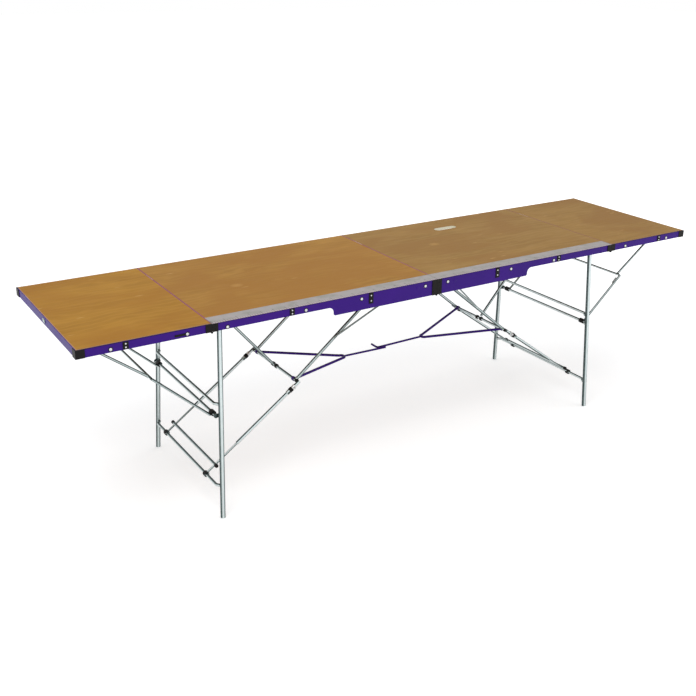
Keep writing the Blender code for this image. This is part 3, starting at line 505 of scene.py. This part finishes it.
def bright_material():
    n = Nodes("nickel plated screw")
    cloud = n.noise((300.0, 300.0, 300.0), 2.0, 0.5)
    colour = n.mix(n.span(cloud, 0.3, 0.7), *NICKEL_COLOURS)
    n.bump(cloud, 0.1, 0.0002)
    return n.finish(colour, n.span(cloud, 0.3, 0.7, 0.28, 0.40), 0.55)


def join_rings(work, rings):
    """Faces between rings that follow each other, with a fan where a ring is one point."""
    sides = max(map(len, rings))
    for first, second in zip(rings, rings[1:]):
        for step in range(sides):
            after = (step + 1) % sides
            corners = (first[step % len(first)], first[after % len(first)],
                       second[after % len(second)], second[step % len(second)])
            work.faces.new(dict.fromkeys(corners))


def mesh_of(work, name):
    mesh = bpy.data.meshes.new(name)
    work.to_mesh(mesh)
    work.free()
    return mesh


class Tubes:
    """A welded frame of round tubes. Each point keeps its way round and along its tube."""

    def __init__(self):
        self.work = bmesh.new()
        self.around = self.work.verts.layers.float_vector.new(TUBE_ATTRIBUTE)
        self.count = 0

    def skin(self, stations):
        """Rings of a radius square to a direction at each (place, direction, radius) station."""
        # Each tube's way round is measured from the middle of its painted highlight band
        across = Vector(PAINTED_HIGHLIGHT_FACING)
        run, last_place, rings = self.count * TUBE_SHIFT, stations[0][0], []
        for place, direction, radius in stations:
            across = (across - direction * across.dot(direction)).normalized()
            other = direction.cross(across)
            run += (place - last_place).length
            last_place = place
            ring = []
            for step in range(TUBE_SIDES if radius else 1):
                angle = math.tau * step / TUBE_SIDES
                turn = across * math.cos(angle) + other * math.sin(angle)
                vert = self.work.verts.new(place + turn * radius)
                vert[self.around] = (math.cos(angle), math.sin(angle), run)
                ring.append(vert)
            rings.append(ring)
        join_rings(self.work, rings)
        self.count += 1

    def tube(self, points, radius, bore=0, bore_depth=0):
        """A tube through points, with rounded ends, bored from its last end where asked."""
        points = [Vector(point) for point in points]
        runs = [(after - before).normalized() for before, after in zip(points, points[1:])]
        ways = [runs[0], *((a + b).normalized() for a, b in zip(runs, runs[1:])), runs[-1]]
        stations = list(zip(points, ways, [radius] * len(points)))
        start, start_way = points[0], ways[0]
        end, end_way = points[-1], ways[-1]
        stations[0] = (start + start_way * END_ROUNDING, start_way, radius)
        stations[-1] = (end - end_way * END_ROUNDING, end_way, radius)
        stations.insert(0, (start, start_way, radius - END_ROUNDING))
        stations.insert(0, (start, start_way, 0))
        stations.append((end, end_way, radius - END_ROUNDING))
        if bore:
            floor = end - end_way * bore_depth
            stations += [(end, end_way, bore), (floor, end_way, bore), (floor, end_way, 0)]
        else:
            stations.append((end, end_way, 0))
        self.skin(stations)

    def cross_tube(self, side, spot, reach, radius):
        """A tube straight across the table, as far to one side as to the other."""
        self.tube((at(side, spot, -reach), at(side, spot, reach)), radius)

    def ring(self, place, direction, bore, radius, length):
        """A short sleeve round a line."""
        direction = Vector(direction).normalized()
        profile = ring_profile(bore, radius, length, END_ROUNDING)
        self.skin([(place + direction * along, direction, size) for along, size in profile])

    def weld(self, place, direction, radius):
        """A low bead round a tube, where it meets the tube that it is welded to."""
        direction = Vector(direction).normalized()
        shares = [step / WELD_STEPS for step in range(WELD_STEPS + 1)]
        self.skin([(place + direction * WELD_LENGTH * (share * 2 - 1), direction,
                    radius - WELD_SUNK + WELD_SWELL * math.sin(math.pi * share)) for share in shares])

    def plate(self, outline, thickness):
        """A flat plate from its outline in one plane and the vector of its thickness."""
        face = self.work.faces.new([self.work.verts.new(point) for point in outline])
        grown = bmesh.ops.extrude_face_region(self.work, geom=[face])["geom"]
        moved = [item for item in grown if isinstance(item, bmesh.types.BMVert)]
        bmesh.ops.translate(self.work, verts=moved, vec=thickness)

    def done(self, name, body, *nodes, finish=None):
        """The finished piece, which rides on a body and stands for the nodes that it names."""
        bmesh.ops.remove_doubles(self.work, verts=self.work.verts, dist=MERGE_DISTANCE)
        bmesh.ops.recalc_face_normals(self.work, faces=self.work.faces)
        piece = link_object(mesh_of(self.work, name), name, body, finish or TUBE)
        if nodes:
            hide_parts(*nodes)


def link_object(mesh, name, body, finish):
    material, slot = finish
    piece = bpy.data.objects.new(name, mesh)
    bpy.context.scene.collection.objects.link(piece)
    mesh.materials.append(material)
    mesh.shade_smooth()
    mesh.set_sharp_from_angle(angle=SHARP_ANGLE)
    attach(piece, body)
    return piece


def turned(profile, place, direction):
    """Mesh of a turned shape: (distance along, radius) pairs about a line from a place."""
    work = bmesh.new()
    turn = Vector(direction).to_track_quat("Z", "Y").to_matrix().to_4x4()
    spin = Matrix.Translation(Vector(place)) @ turn
    rings = []
    for along, radius in profile:
        ring = []
        for step in range(TURNED_SIDES if radius else 1):
            angle = math.tau * step / TURNED_SIDES
            spot = Vector((radius * math.cos(angle), radius * math.sin(angle), along))
            ring.append(work.verts.new(spin @ spot))
        rings.append(ring)
    join_rings(work, rings)
    bmesh.ops.recalc_face_normals(work, faces=work.faces)
    return mesh_of(work, "turned")


def rounded_block(low_corner, high_corner, radius):
    work = bmesh.new()
    bmesh.ops.create_cube(work, size=1)
    first = Vector(map(min, low_corner, high_corner))
    second = Vector(map(max, low_corner, high_corner))
    bmesh.ops.scale(work, verts=work.verts, vec=second - first)
    bmesh.ops.translate(work, verts=work.verts, vec=(first + second) / 2)
    bmesh.ops.bevel(work, geom=work.edges, offset=radius, segments=BLOCK_SEGMENTS, profile=0.5,
                    affect="EDGES")
    return mesh_of(work, "block")


def dome(radius, height):
    """Profile of a domed head whose back is sunk in the face that it stands on."""
    rim = height * DOME_RIM
    points = [(-SUNK, 0), (-SUNK, radius), (rim, radius)]
    for step in range(1, DOME_STEPS):
        angle = math.pi / 2 * step / DOME_STEPS
        points.append((rim + (height - rim) * math.sin(angle), radius * math.cos(angle)))
    points.append((height, 0))
    return points


def cap_profile(radius):
    """A moulded cap pushed over a bar's end, with a rounded nose."""
    outer = radius + CAP_WALL
    nose = outer * CAP_NOSE
    along, inward = CAP_EDGE
    points = [(-CAP_LENGTH, radius * SUNK_BORE), (-CAP_LENGTH, outer - inward),
              (-CAP_LENGTH + along, outer), (CAP_WALL - nose, outer)]
    for step in range(1, CAP_STEPS + 1):
        angle = math.pi / 2 * step / CAP_STEPS
        points.append((CAP_WALL - nose + nose * math.sin(angle), outer - nose + nose * math.cos(angle)))
    points.append((CAP_WALL, 0))
    return points


def ring_profile(bore, radius, length, edge=RING_EDGE):
    half = length / 2
    return [(-half, bore), (-half, radius - edge), (-half + edge, radius), (half - edge, radius),
            (half, radius - edge), (half, bore), (-half, bore)]


def flat(vector, side):
    """The spot, a distance from the middle and a height, of a world vector."""
    return Vector((side * vector.x, vector.z))


def at(side, spot, y):
    """The place of a spot at a y across the table."""
    return Vector((side * spot[0], y, spot[1]))


def rotated(vector, angle):
    return Matrix.Rotation(angle, 2) @ vector


def joint_spot(side_word, name):
    return flat(Vector(joints[f"{side_word}_{name}"]["pos_m"]), SIDES[side_word])


def rail_body(side_word, distance):
    return side_word + ("_leaf" if distance > SEAM else "_half")


def add_head(name, side_word, edge_word, spot, size, finish, face=RAIL_FACE):
    """A domed head on the outer face of a long rail."""
    edge = EDGES[edge_word]
    mesh = turned(dome(*size), at(SIDES[side_word], spot, edge * face), (0, edge, 0))
    link_object(mesh, name, rail_body(side_word, spot[0]), finish)


def add_bolt(name, side_word, edge_word, spot):
    """The bright head of a bolt or rivet on a black disc that is partly its washer and partly a painted shadow
    round the head.
    """
    add_head(name + "_washer_and_shadow", side_word, edge_word, spot, WASHER_AND_SHADOW, PLASTIC)
    add_head(name, side_word, edge_word, spot, BOLT_HEAD, BRIGHT)


def rail_block(side, edge, distance, width, heights, depth, rounding):
    """Mesh of a rounded block on the outer face of a long rail."""
    bottom, top = heights
    return rounded_block((side * distance - width / 2, edge * (RAIL_FACE - SUNK), bottom),
                         (side * distance + width / 2, edge * (RAIL_FACE + depth), top), rounding)


def add_rail_clip(name, side_word, edge_word, distance, bottom, top):
    """Black moulded clip on a rail, held by two screws."""
    width, depth = CLIP_SIZE
    mesh = rail_block(SIDES[side_word], EDGES[edge_word], distance, width, (bottom, top), depth,
                      CLIP_ROUNDING)
    link_object(mesh, name, rail_body(side_word, distance), PLASTIC)
    inset = (top - bottom) / 4
    for number, height in enumerate((bottom + inset, top - inset)):
        add_head(f"{name}_screw_{number}", side_word, edge_word, (distance, height), SCREW_HEAD,
                 BRIGHT, RAIL_FACE + depth)


def add_latch(place, side_word, edge_word):
    """The latch on a leaf's rail, and the rivet on the end of the legs' axle."""
    add_bolt(f"{place}_axle_rivet", side_word, edge_word, joint_spot(side_word, "leg_fold"))
    width, height = LATCH_SIZE
    bottom = BOLT_HEIGHT - LATCH_DROP
    mesh = rail_block(SIDES[side_word], EDGES[edge_word], LATCH, width, (bottom, bottom + height),
                      LATCH_DEPTH, LATCH_ROUNDING)
    link_object(mesh, f"{place}_latch", side_word + "_leaf", PLASTIC)


def add_rail_fittings(side_word, edge_word):
    """What is fixed to a long rail. The far side of the table is its near side turned round."""
    place = f"{side_word}_{edge_word}"
    opposite = "left" if side_word == "right" else "right"
    bolts = MAIN_BOLTS[side_word if edge_word == "near" else opposite]
    for number, distance in enumerate((*bolts, *LEAF_RIVETS)):
        add_bolt(f"{place}_bolt_{number}", side_word, edge_word, (distance, BOLT_HEIGHT))
    bottom, top = (RAIL_TOP - drop for drop in DEEP_CLIP_SPAN)
    add_rail_clip(f"{place}_deep_clip", side_word, edge_word, DEEP_CLIP, bottom, top)
    bottom, top = RAIL_BOTTOM + CLIP_MARGINS[0], RAIL_TOP - CLIP_MARGINS[1]
    for word, distance in (("shallow", SHALLOW_CLIP), ("leaf", LEAF_CLIP)):
        add_rail_clip(f"{place}_{word}_clip", side_word, edge_word, distance, bottom, top)
    if place in LATCHED_RAILS:
        add_latch(place, side_word, edge_word)


def add_hinge_rivets(side_word, edge_word):
    rows = {"outer": SEAM + HINGE_RIVET_SHIFT, "inner": SEAM - HINGE_RIVET_SHIFT,
            "middle": HINGE_RIVET_SHIFT}
    for word, distance in rows.items():
        bottom = DEEP_RAIL_BOTTOM if word == "middle" else RAIL_BOTTOM
        inset = (RAIL_TOP - bottom) / 4
        for number, height in enumerate((bottom + inset, RAIL_TOP - inset)):
            add_head(f"{side_word}_{edge_word}_{word}_hinge_rivet_{number}", side_word, edge_word,
                     (distance, height), HINGE_RIVET, PLASTIC, HINGE_FACE)


def add_axle_covers(side_word, edge_word):
    """Enamelled discs over the ends of the bars that turn in the rails."""
    place = f"{side_word}_{edge_word}"
    covered = ["upper_support_pivot", "upper_brace_pivot"]
    if place not in LATCHED_RAILS:
        covered.append("leg_fold")
    for word in covered:
        add_head(f"{place}_{word}_cover", side_word, edge_word, joint_spot(side_word, word),
                 AXLE_COVER, PURPLE)


def add_end_clasp(side_word):
    side = SIDES[side_word]
    low_corner, high_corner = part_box(side_word + "_leaf_end_rail")
    face = max(abs(low_corner[0]), abs(high_corner[0]))
    middle = (low_corner[2] + high_corner[2]) / 2
    width, height = END_CLASP_SIZE
    mesh = rounded_block((side * (face - SUNK), -width / 2, middle - height / 2),
                         (side * (face + END_CLASP_DEPTH), width / 2, middle + height / 2),
                         END_CLASP_ROUNDING)
    link_object(mesh, side_word + "_end_clasp", side_word + "_leaf", ZINC)


class LegLine:
    """The line of a splayed leg: where it is, and how deep it stands, at any height."""

    def __init__(self, side_word):
        low_corner, high_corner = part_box(side_word + "_near_leg")
        outermost = max(abs(low_corner[0]), abs(high_corner[0]))
        self.top = joint_spot(side_word, "leg_fold")
        self.foot = Vector((outermost - LEG_SOLID_RADIUS, FOOT_LIFT))
        self.foot_depth = -low_corner[1] - LEG_SOLID_RADIUS
        self.outward = rotated((self.foot - self.top).normalized(), math.pi / 2)

    def share(self, height):
        """How far down the leg a height lies."""
        return (self.top.y - height) / (self.top.y - self.foot.y)

    def spot(self, height, offset=0.0):
        return self.top.lerp(self.foot, self.share(height)) + self.outward * offset

    def depth(self, height):
        return LEG_TOP_DEPTH + (self.foot_depth - LEG_TOP_DEPTH) * self.share(height)


def lug_outline(root, eye):
    """Two arcs, round the lug's root and round the eye of the bar that turns in it."""
    away = (eye - root).normalized()
    points = []
    for centre, radius, turn in ((root, BAR_RADIUS, math.pi / 2), (eye, LUG_EYE_RADIUS, -math.pi / 2)):
        for step in range(BEND_STEPS + 1):
            points.append(centre + rotated(away, turn + math.pi * step / BEND_STEPS) * radius)
    return points


def add_leg(side_word, edge_word, line):
    """A leg with its sleeve on the axle and the lug that the leaf support turns in."""
    side, edge = SIDES[side_word], EDGES[edge_word]
    eye = joint_spot(side_word, "lower_support_pivot")
    height = (eye - line.outward * LEG_BARS["upper"][1]).y
    root = line.spot(height)
    name = f"{side_word}_{edge_word}_leg"
    top = at(side, line.top, edge * LEG_TOP_DEPTH)
    leg = Tubes()
    leg.tube((top, at(side, line.foot, edge * line.foot_depth)), LEG_RADIUS, LEG_RADIUS - LEG_WALL,
             FOOT_PLUG_DEPTH)
    leg.ring(top, (0, 1, 0), AXLE_HOLE, *LEG_SLEEVE)
    leg.tube((at(side, root, edge * line.depth(height)), at(side, root, edge * LUG_DEPTH)), BAR_RADIUS)
    leg.plate([at(side, spot, edge * LUG_DEPTH) for spot in lug_outline(root, eye)],
              Vector((0, edge * LUG_THICKNESS, 0)))
    leg.done(name + "_tube", side_word + "_leg_pair", name)


def add_leg_bar(side_word, word, line):
    """A bar from leg to leg, its ends bent in to meet them, with a weld bead at each."""
    side = SIDES[side_word]
    height, offset = LEG_BARS[word]
    start = line.depth(height) - LEG_RADIUS - BAR_GAP
    half = [(line.spot(height), start)]
    for step in range(BEND_STEPS + 1):
        share = step / BEND_STEPS
        ease = (1 - math.cos(math.pi * share)) / 2
        half.append((line.spot(height, offset * ease), start - BAR_STUB - BAR_BEND * share))
    points = [at(side, spot, -depth) for spot, depth in half]
    points += [at(side, spot, depth) for spot, depth in reversed(half)]
    bar = Tubes()
    bar.tube(points, BAR_RADIUS)
    for edge in EDGES.values():
        bar.weld(at(side, line.spot(height), edge * (start - WELD_LENGTH)), (0, 1, 0), BAR_RADIUS)
    bar.done(f"{side_word}_{word}_bar_tube", side_word + "_leg_pair", f"{side_word}_{word}_leg_bar")


def support_knee(side_word):
    """The spot where the two leaf supports meet."""
    low_corner, high_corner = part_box(side_word + "_upper_leaf_support")
    innermost = min(abs(low_corner[0]), abs(high_corner[0]))
    return Vector((innermost + SUPPORT_PIVOT_RADIUS, low_corner[2] + SUPPORT_PIVOT_RADIUS))


def add_strut_welds(welded, side, ends, depth, bar_radius, radius):
    """A bead at each end of a strut that runs from bar to bar."""
    start, end = ends
    along = (end - start).normalized()
    for place, back in ((start, along), (end, -along)):
        welded.weld(at(side, place + back * bar_radius * WELD_FROM_AXIS, depth), at(side, back, 0),
                    radius)


def add_upper_support(side_word):
    side = SIDES[side_word]
    pivot, bend = joint_spot(side_word, "upper_support_pivot"), support_knee(side_word)
    welded = Tubes()
    welded.cross_tube(side, pivot, AXLE_REACH, SUPPORT_PIVOT_RADIUS)
    welded.cross_tube(side, bend, UPPER_SUPPORT_REACH, SUPPORT_RADIUS)
    for edge in EDGES.values():
        depth = edge * UPPER_SUPPORT_DEPTH
        welded.tube((at(side, pivot, depth), at(side, bend, depth)), SUPPORT_RADIUS)
        add_strut_welds(welded, side, (pivot, bend), depth, SUPPORT_PIVOT_RADIUS, SUPPORT_RADIUS)
    welded.done(side_word + "_upper_support_tubes", side_word + "_upper_support_frame",
                side_word + "_upper_leaf_support")


def add_lower_support(side_word):
    """The lower leaf support, whose struts pass beside the bar that turns in the legs' lugs."""
    side = SIDES[side_word]
    foot, bend = joint_spot(side_word, "lower_support_pivot"), support_knee(side_word)
    to_knee = bend - foot
    swing = math.acos(LOWER_SUPPORT_OFFSET / to_knee.length)
    start = foot + rotated(to_knee.normalized(), -swing) * LOWER_SUPPORT_OFFSET
    welded = Tubes()
    welded.cross_tube(side, foot, LOWER_SUPPORT_REACH, BAR_RADIUS)
    for edge in EDGES.values():
        depth = edge * LOWER_SUPPORT_DEPTH
        welded.ring(at(side, foot, depth), (0, 1, 0), BAR_RADIUS * SUNK_BORE, *SUPPORT_SLEEVE)
        welded.tube((at(side, start, depth), at(side, bend, depth)), SUPPORT_RADIUS)
    welded.done(side_word + "_lower_support_tubes", side_word + "_lower_support_frame",
                side_word + "_lower_leaf_support")


def add_upper_brace(side_word):
    """Two struts from the pivot bar to the knee bar, and the thin stays that splay from them."""
    side = SIDES[side_word]
    pivot, bend = joint_spot(side_word, "upper_brace_pivot"), joint_spot(side_word, "pull_rod_pivot")
    down = (bend - pivot).normalized()
    lift = rotated(down, math.pi / 2) * STAY_LIFT
    welded = Tubes()
    welded.cross_tube(side, pivot, AXLE_REACH, BAR_RADIUS)
    welded.cross_tube(side, bend, KNEE_REACH, BAR_RADIUS)
    for edge in EDGES.values():
        depth = edge * BRACE_DEPTH
        welded.tube((at(side, pivot, depth), at(side, bend, depth)), STRUT_RADIUS)
        welded.tube((at(side, pivot + down * STAY_AT + lift, depth),
                     at(side, pivot + lift, edge * STAY_DEPTH)), STAY_RADIUS)
        add_strut_welds(welded, side, (pivot, bend), depth, BAR_RADIUS, STRUT_RADIUS)
    welded.done(side_word + "_upper_brace_tubes", side_word + "_upper_brace_frame",
                side_word + "_upper_brace")


def add_lower_brace(side_word):
    """The rods that turn on the lower leg bar, and the tubes that slide on them."""
    side = SIDES[side_word]
    foot, bend = joint_spot(side_word, "lower_brace_pivot"), joint_spot(side_word, "pull_rod_pivot")
    along = (bend - foot).normalized()
    bar_spot = foot + along * ROD_BAR[0] + rotated(along, -math.pi / 2) * ROD_BAR[1]
    welded = Tubes()
    welded.cross_tube(side, bar_spot, ROD_BAR_REACH, BAR_RADIUS)
    for edge in EDGES.values():
        depth = edge * ROD_DEPTH
        welded.tube([at(side, foot + along * distance, depth) for distance in ROD_SPAN], ROD_RADIUS)
        welded.ring(at(side, foot, depth), (0, 1, 0), BAR_HOLE, *ROD_EYE)
    welded.done(side_word + "_brace_rod_frame", side_word + "_lower_brace_frame",
                side_word + "_lower_brace_rods")
    length = (bend - foot).length + SLIDER_PAST_KNEE
    bore_depth = length - SLIDER_START - SLIDER_END_WALL
    radius, first, last = SLIDER_COLLAR
    for edge_word, edge in EDGES.items():
        depth = edge * ROD_DEPTH
        slider = Tubes()
        slider.tube([at(side, foot + along * distance, depth) for distance in (length, SLIDER_START)],
                    STRUT_RADIUS, SLIDER_BORE, bore_depth)
        slider.ring(at(side, foot + along * (first + last) / 2, depth), at(side, along, 0),
                    BAR_RADIUS * SUNK_BORE, radius, last - first)
        slider.done(f"{side_word}_{edge_word}_slider_tube", side_word + "_brace_tubes",
                    f"{side_word}_{edge_word}_brace_tube")


def add_frames(side_word):
    line = LegLine(side_word)
    for edge_word in EDGES:
        add_leg(side_word, edge_word, line)
    for word in LEG_BARS:
        add_leg_bar(side_word, word, line)
    add_upper_support(side_word)
    add_lower_support(side_word)
    add_upper_brace(side_word)
    add_lower_brace(side_word)


def add_bar_caps(side_word, name, spot, reach, body):
    side = SIDES[side_word]
    for edge_word, edge in EDGES.items():
        mesh = turned(cap_profile(BAR_RADIUS), at(side, spot, edge * reach), (0, edge, 0))
        link_object(mesh, f"{side_word}_{edge_word}_{name}", body, PLASTIC)


def add_ring(name, place, direction, sizes, body, finish=None):
    mesh = turned(ring_profile(*sizes), place, direction)
    link_object(mesh, name, body, finish or PLASTIC)


def add_knee_spring(side_word, edge_word):
    """Bent wire welded to the leaf support's lower strut, just below its knee."""
    side, edge = SIDES[side_word], EDGES[edge_word]
    bend, foot = support_knee(side_word), joint_spot(side_word, "lower_support_pivot")
    down = (foot - bend).normalized()
    wire = Tubes()
    wire.tube([at(side, bend + down * along, edge * depth) for along, depth in SPRING_POINTS],
              SPRING_RADIUS)
    wire.done(f"{side_word}_{edge_word}_knee_spring", side_word + "_lower_support_frame")


def add_tube_fittings(side_word):
    """Caps, collars, sleeves, knobs, clips and springs on the tubes of the linkage."""
    side = SIDES[side_word]
    knee, brace_foot, support_foot = (joint_spot(side_word, name) for name in (
        "pull_rod_pivot", "lower_brace_pivot", "lower_support_pivot"))
    along = (knee - brace_foot).normalized()
    bar = brace_foot + along * ROD_BAR[0] + rotated(along, -math.pi / 2) * ROD_BAR[1]
    sliders, rods = side_word + "_brace_tubes", side_word + "_lower_brace_frame"
    add_bar_caps(side_word, "knee_cap", knee, KNEE_CAP_REACH, side_word + "_upper_brace_frame")
    add_bar_caps(side_word, "brace_bar_cap", bar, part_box(side_word + "_lower_brace_rods")[1][1], rods)
    for edge_word, edge in EDGES.items():
        place = f"{side_word}_{edge_word}"
        rod_way, outward = at(side, along, 0), Vector((0, edge, 0))
        collar = at(side, knee - along * COLLAR_FROM_KNEE, edge * ROD_DEPTH)
        sleeve = at(side, knee - along * SLEEVE_FROM_KNEE, edge * ROD_DEPTH)
        add_ring(f"{place}_brace_collar", collar, rod_way, COLLAR, sliders)
        add_ring(f"{place}_brace_sleeve", sleeve, rod_way, SLEEVE, sliders, BRIGHT)
        knob_place = sleeve + outward * (SLEEVE[1] - KNOB_SUNK)
        link_object(turned(dome(*KNOB), knob_place, outward), f"{place}_collar_knob", sliders, BRIGHT)
        add_ring(f"{place}_eye_sleeve", at(side, brace_foot, edge * ROD_DEPTH), (0, 1, 0), EYE_SLEEVE,
                 rods)
        add_ring(f"{place}_support_clip", at(side, support_foot, edge * LOWER_SUPPORT_DEPTH),
                 (0, 1, 0), SUPPORT_CLIP, side_word + "_lower_support_frame")
        add_knee_spring(side_word, edge_word)


def add_central_link(side_word):
    """The link tube, its thin neck and pin, and the black clips on the knee bar beside its end."""
    side = SIDES[side_word]
    pivot = joint_spot(side_word, "link_pivot")
    knee = joint_spot(side_word, "pull_rod_pivot")
    along = (knee - pivot).normalized()
    end = knee - along * LINK_END_FROM_KNEE
    pin_radius, pin_reach = LINK_PIN
    neck_radius, neck_length = LINK_NECK
    start = pivot + along * neck_length
    set_down = rotated(along, math.pi / 2) * LINK_SET_DOWN
    link = Tubes()
    link.cross_tube(side, pivot, pin_reach, pin_radius)
    link.tube((at(side, pivot - along * pin_radius, 0), at(side, start + along * LINK_RADIUS, 0)),
              neck_radius)
    link.tube((at(side, start + set_down, 0), at(side, end + set_down, 0)), LINK_RADIUS)
    link.done(side_word + "_link_bar", side_word + "_link", side_word + "_central_link")
    for edge_word, edge in EDGES.items():
        add_ring(f"{side_word}_{edge_word}_link_clip", at(side, knee, edge * LINK_CLIP_DEPTH),
                 (0, 1, 0), LINK_CLIP, side_word + "_upper_brace_frame")


def add_pull_rod(side_word):
    """Two arms from the knee that meet in a fork, and a stem that the right side ends in a hook."""
    side = SIDES[side_word]
    knee = joint_spot(side_word, "pull_rod_pivot")
    fork, tip = Vector(PULL_FORK), Vector(PULL_END)
    shift = side * PULL_SHIFT
    start = knee + (fork - knee).normalized() * PULL_START
    arms = [at(side, start, -PULL_EYE_DEPTH)]
    for step in range(-BEND_STEPS, BEND_STEPS + 1):
        angle = math.pi / 2 * step / BEND_STEPS
        spot = fork + Vector((PULL_FORK_HALF * (1 - math.cos(angle)), 0))
        arms.append(at(side, spot, shift + PULL_FORK_HALF * math.sin(angle)))
    arms.append(at(side, start, PULL_EYE_DEPTH))
    stem = [at(side, fork + Vector((PULL_FORK_HALF / 4, 0)), shift)]
    if side_word == "left":
        stem.append(at(side, tip, shift))
    else:
        reach, prong, bend = PULL_HOOK
        for step in range(BEND_STEPS + 1):
            angle = math.pi / 2 * step / BEND_STEPS
            spot = (bend - reach - bend * math.sin(angle), tip.y)
            stem.append(at(side, spot, shift + bend * (1 - math.cos(angle))))
        stem.append(at(side, (-reach, tip.y), shift + prong))
    rod = Tubes()
    rod.tube(arms, PULL_RADIUS)
    rod.tube(stem, PULL_STEM_RADIUS)
    rod.weld(at(side, fork, shift), (side, 0, 0), PULL_STEM_RADIUS)
    for edge in EDGES.values():
        rod.ring(at(side, knee, edge * PULL_EYE_DEPTH), (0, 1, 0), BAR_HOLE, *PULL_EYE)
    rod.done(side_word + "_pull_rod_tube", side_word + "_pull_rod_frame", side_word + "_pull_rod",
             finish=PURPLE)


def seen_ray(tree):
    """1 for rays that show the background itself: seen directly, mirrored or through glass."""
    paths = tree.nodes.new("ShaderNodeLightPath")
    value = paths.outputs["Is Camera Ray"]
    for kind in ("Is Glossy Ray", "Is Transmission Ray"):
        both = tree.nodes.new("ShaderNodeMath")
        both.operation = "MAXIMUM"
        tree.links.new(value, both.inputs[0])
        tree.links.new(paths.outputs[kind], both.inputs[1])
        value = both.outputs[0]
    return value


def add_floor():
    """Pale floor that keeps the table's shadow and fades to white away from it."""
    bpy.ops.mesh.primitive_plane_add(size=FLOOR_SIZE, location=(0, 0, cad_box[0][2] - FLOOR_DROP))
    floor = bpy.context.object
    floor.name = "floor"
    n = Nodes("pale studio floor")
    cloud = n.noise((0.6, 0.6, 0.6), 2.0, 0.5)
    away = n.add("VectorMath", {0: n.place}, operation="LENGTH").outputs["Value"]
    glow = n.span(away, *FLOOR_FADE, FLOOR_GLOW, 1.0)
    n.finish(n.mix(cloud, *FLOOR_COLOURS), 0.9)
    n.shader.inputs["Specular IOR Level"].default_value = 0.0
    n.shader.inputs["Emission Color"].default_value = WHITE
    n.feed(n.shader.inputs["Emission Strength"], n.math("MULTIPLY", seen_ray(n.tree), glow))
    floor.data.materials.append(n.material)


def set_world():
    """White for what shows the background, soft grey light for everything else."""
    world = bpy.data.worlds.new("studio")
    bpy.context.scene.world = world
    world.use_nodes = True
    tree = world.node_tree
    background = tree.nodes["Background"]
    background.inputs["Color"].default_value = (*SKY_COLOUR, 1)
    background.inputs["Strength"].default_value = SKY_STRENGTH
    white = tree.nodes.new("ShaderNodeBackground")
    white.inputs["Color"].default_value = WHITE
    blend = tree.nodes.new("ShaderNodeMixShader")
    tree.links.new(seen_ray(tree), blend.inputs[0])
    tree.links.new(background.outputs[0], blend.inputs[1])
    tree.links.new(white.outputs[0], blend.inputs[2])
    tree.links.new(blend.outputs[0], tree.nodes["World Output"].inputs["Surface"])


def add_lamp(name, place, target, size, power):
    lamp = bpy.data.lights.new(name, "AREA")
    lamp.shape = "RECTANGLE"
    lamp.size, lamp.size_y = size
    lamp.energy = power
    holder = bpy.data.objects.new(name, lamp)
    bpy.context.scene.collection.objects.link(holder)
    aim = (Vector(target) - Vector(place)).to_track_quat("-Z", "Y")
    holder.matrix_world = Matrix.Translation(place) @ aim.to_matrix().to_4x4()


def add_camera():
    data = bpy.data.cameras.new("camera")
    data.sensor_width = SENSOR_WIDTH
    data.lens = SENSOR_WIDTH * FOCAL_PIXELS / IMAGE_SIZE
    data.shift_y = (PRINCIPAL_ROW - IMAGE_SIZE / 2) / IMAGE_SIZE
    forward = Vector((math.sin(CAMERA_YAW) * math.cos(CAMERA_PITCH),
                      math.cos(CAMERA_YAW) * math.cos(CAMERA_PITCH), -math.sin(CAMERA_PITCH)))
    right = Vector((math.cos(CAMERA_YAW), -math.sin(CAMERA_YAW), 0))
    up = right.cross(forward)
    rolled_right = right * math.cos(CAMERA_ROLL) + up * math.sin(CAMERA_ROLL)
    rolled_up = up * math.cos(CAMERA_ROLL) - right * math.sin(CAMERA_ROLL)
    camera = bpy.data.objects.new("camera", data)
    bpy.context.scene.collection.objects.link(camera)
    turn = Matrix((rolled_right, rolled_up, -forward)).transposed().to_4x4()
    camera.matrix_world = Matrix.Translation(CAMERA_PLACE) @ turn
    bpy.context.scene.camera = camera


# Finishes, each a material and its slot
ZINC = (zinc_material(), "zinc_steel")
TUBE = (tube_material(), "zinc_steel")
PURPLE = (purple_material(), "purple_enamel")
PLASTIC = (plastic_material(), "black_plastic")
STRIP = (strip_material(), "aluminium_strip")
BRIGHT = (bright_material(), "zinc_steel")

SLOT_MATERIALS = {slot: material for material, slot in (ZINC, PURPLE, PLASTIC, STRIP)}
BOARD_MATERIALS = {node: plywood_material(*look) for node, look in BOARDS.items()}

for part in frame["record"]["subparts"]:
    node = frame["nodes"][part["node"]]
    node.data.materials.clear()
    node.data.materials.append(BOARD_MATERIALS.get(part["node"]) or SLOT_MATERIALS[part["material_slot"]])

for side_word in SIDES:
    for edge_word in EDGES:
        add_rail_fittings(side_word, edge_word)
        add_hinge_rivets(side_word, edge_word)
        add_axle_covers(side_word, edge_word)
    add_end_clasp(side_word)
    add_frames(side_word)
    add_tube_fittings(side_word)
    add_central_link(side_word)
    add_pull_rod(side_word)

add_floor()
set_world()
for lamp_name, lamp_values in LAMPS.items():
    add_lamp(lamp_name, *lamp_values)
add_camera()
bpy.context.scene.view_settings.view_transform = "Standard"
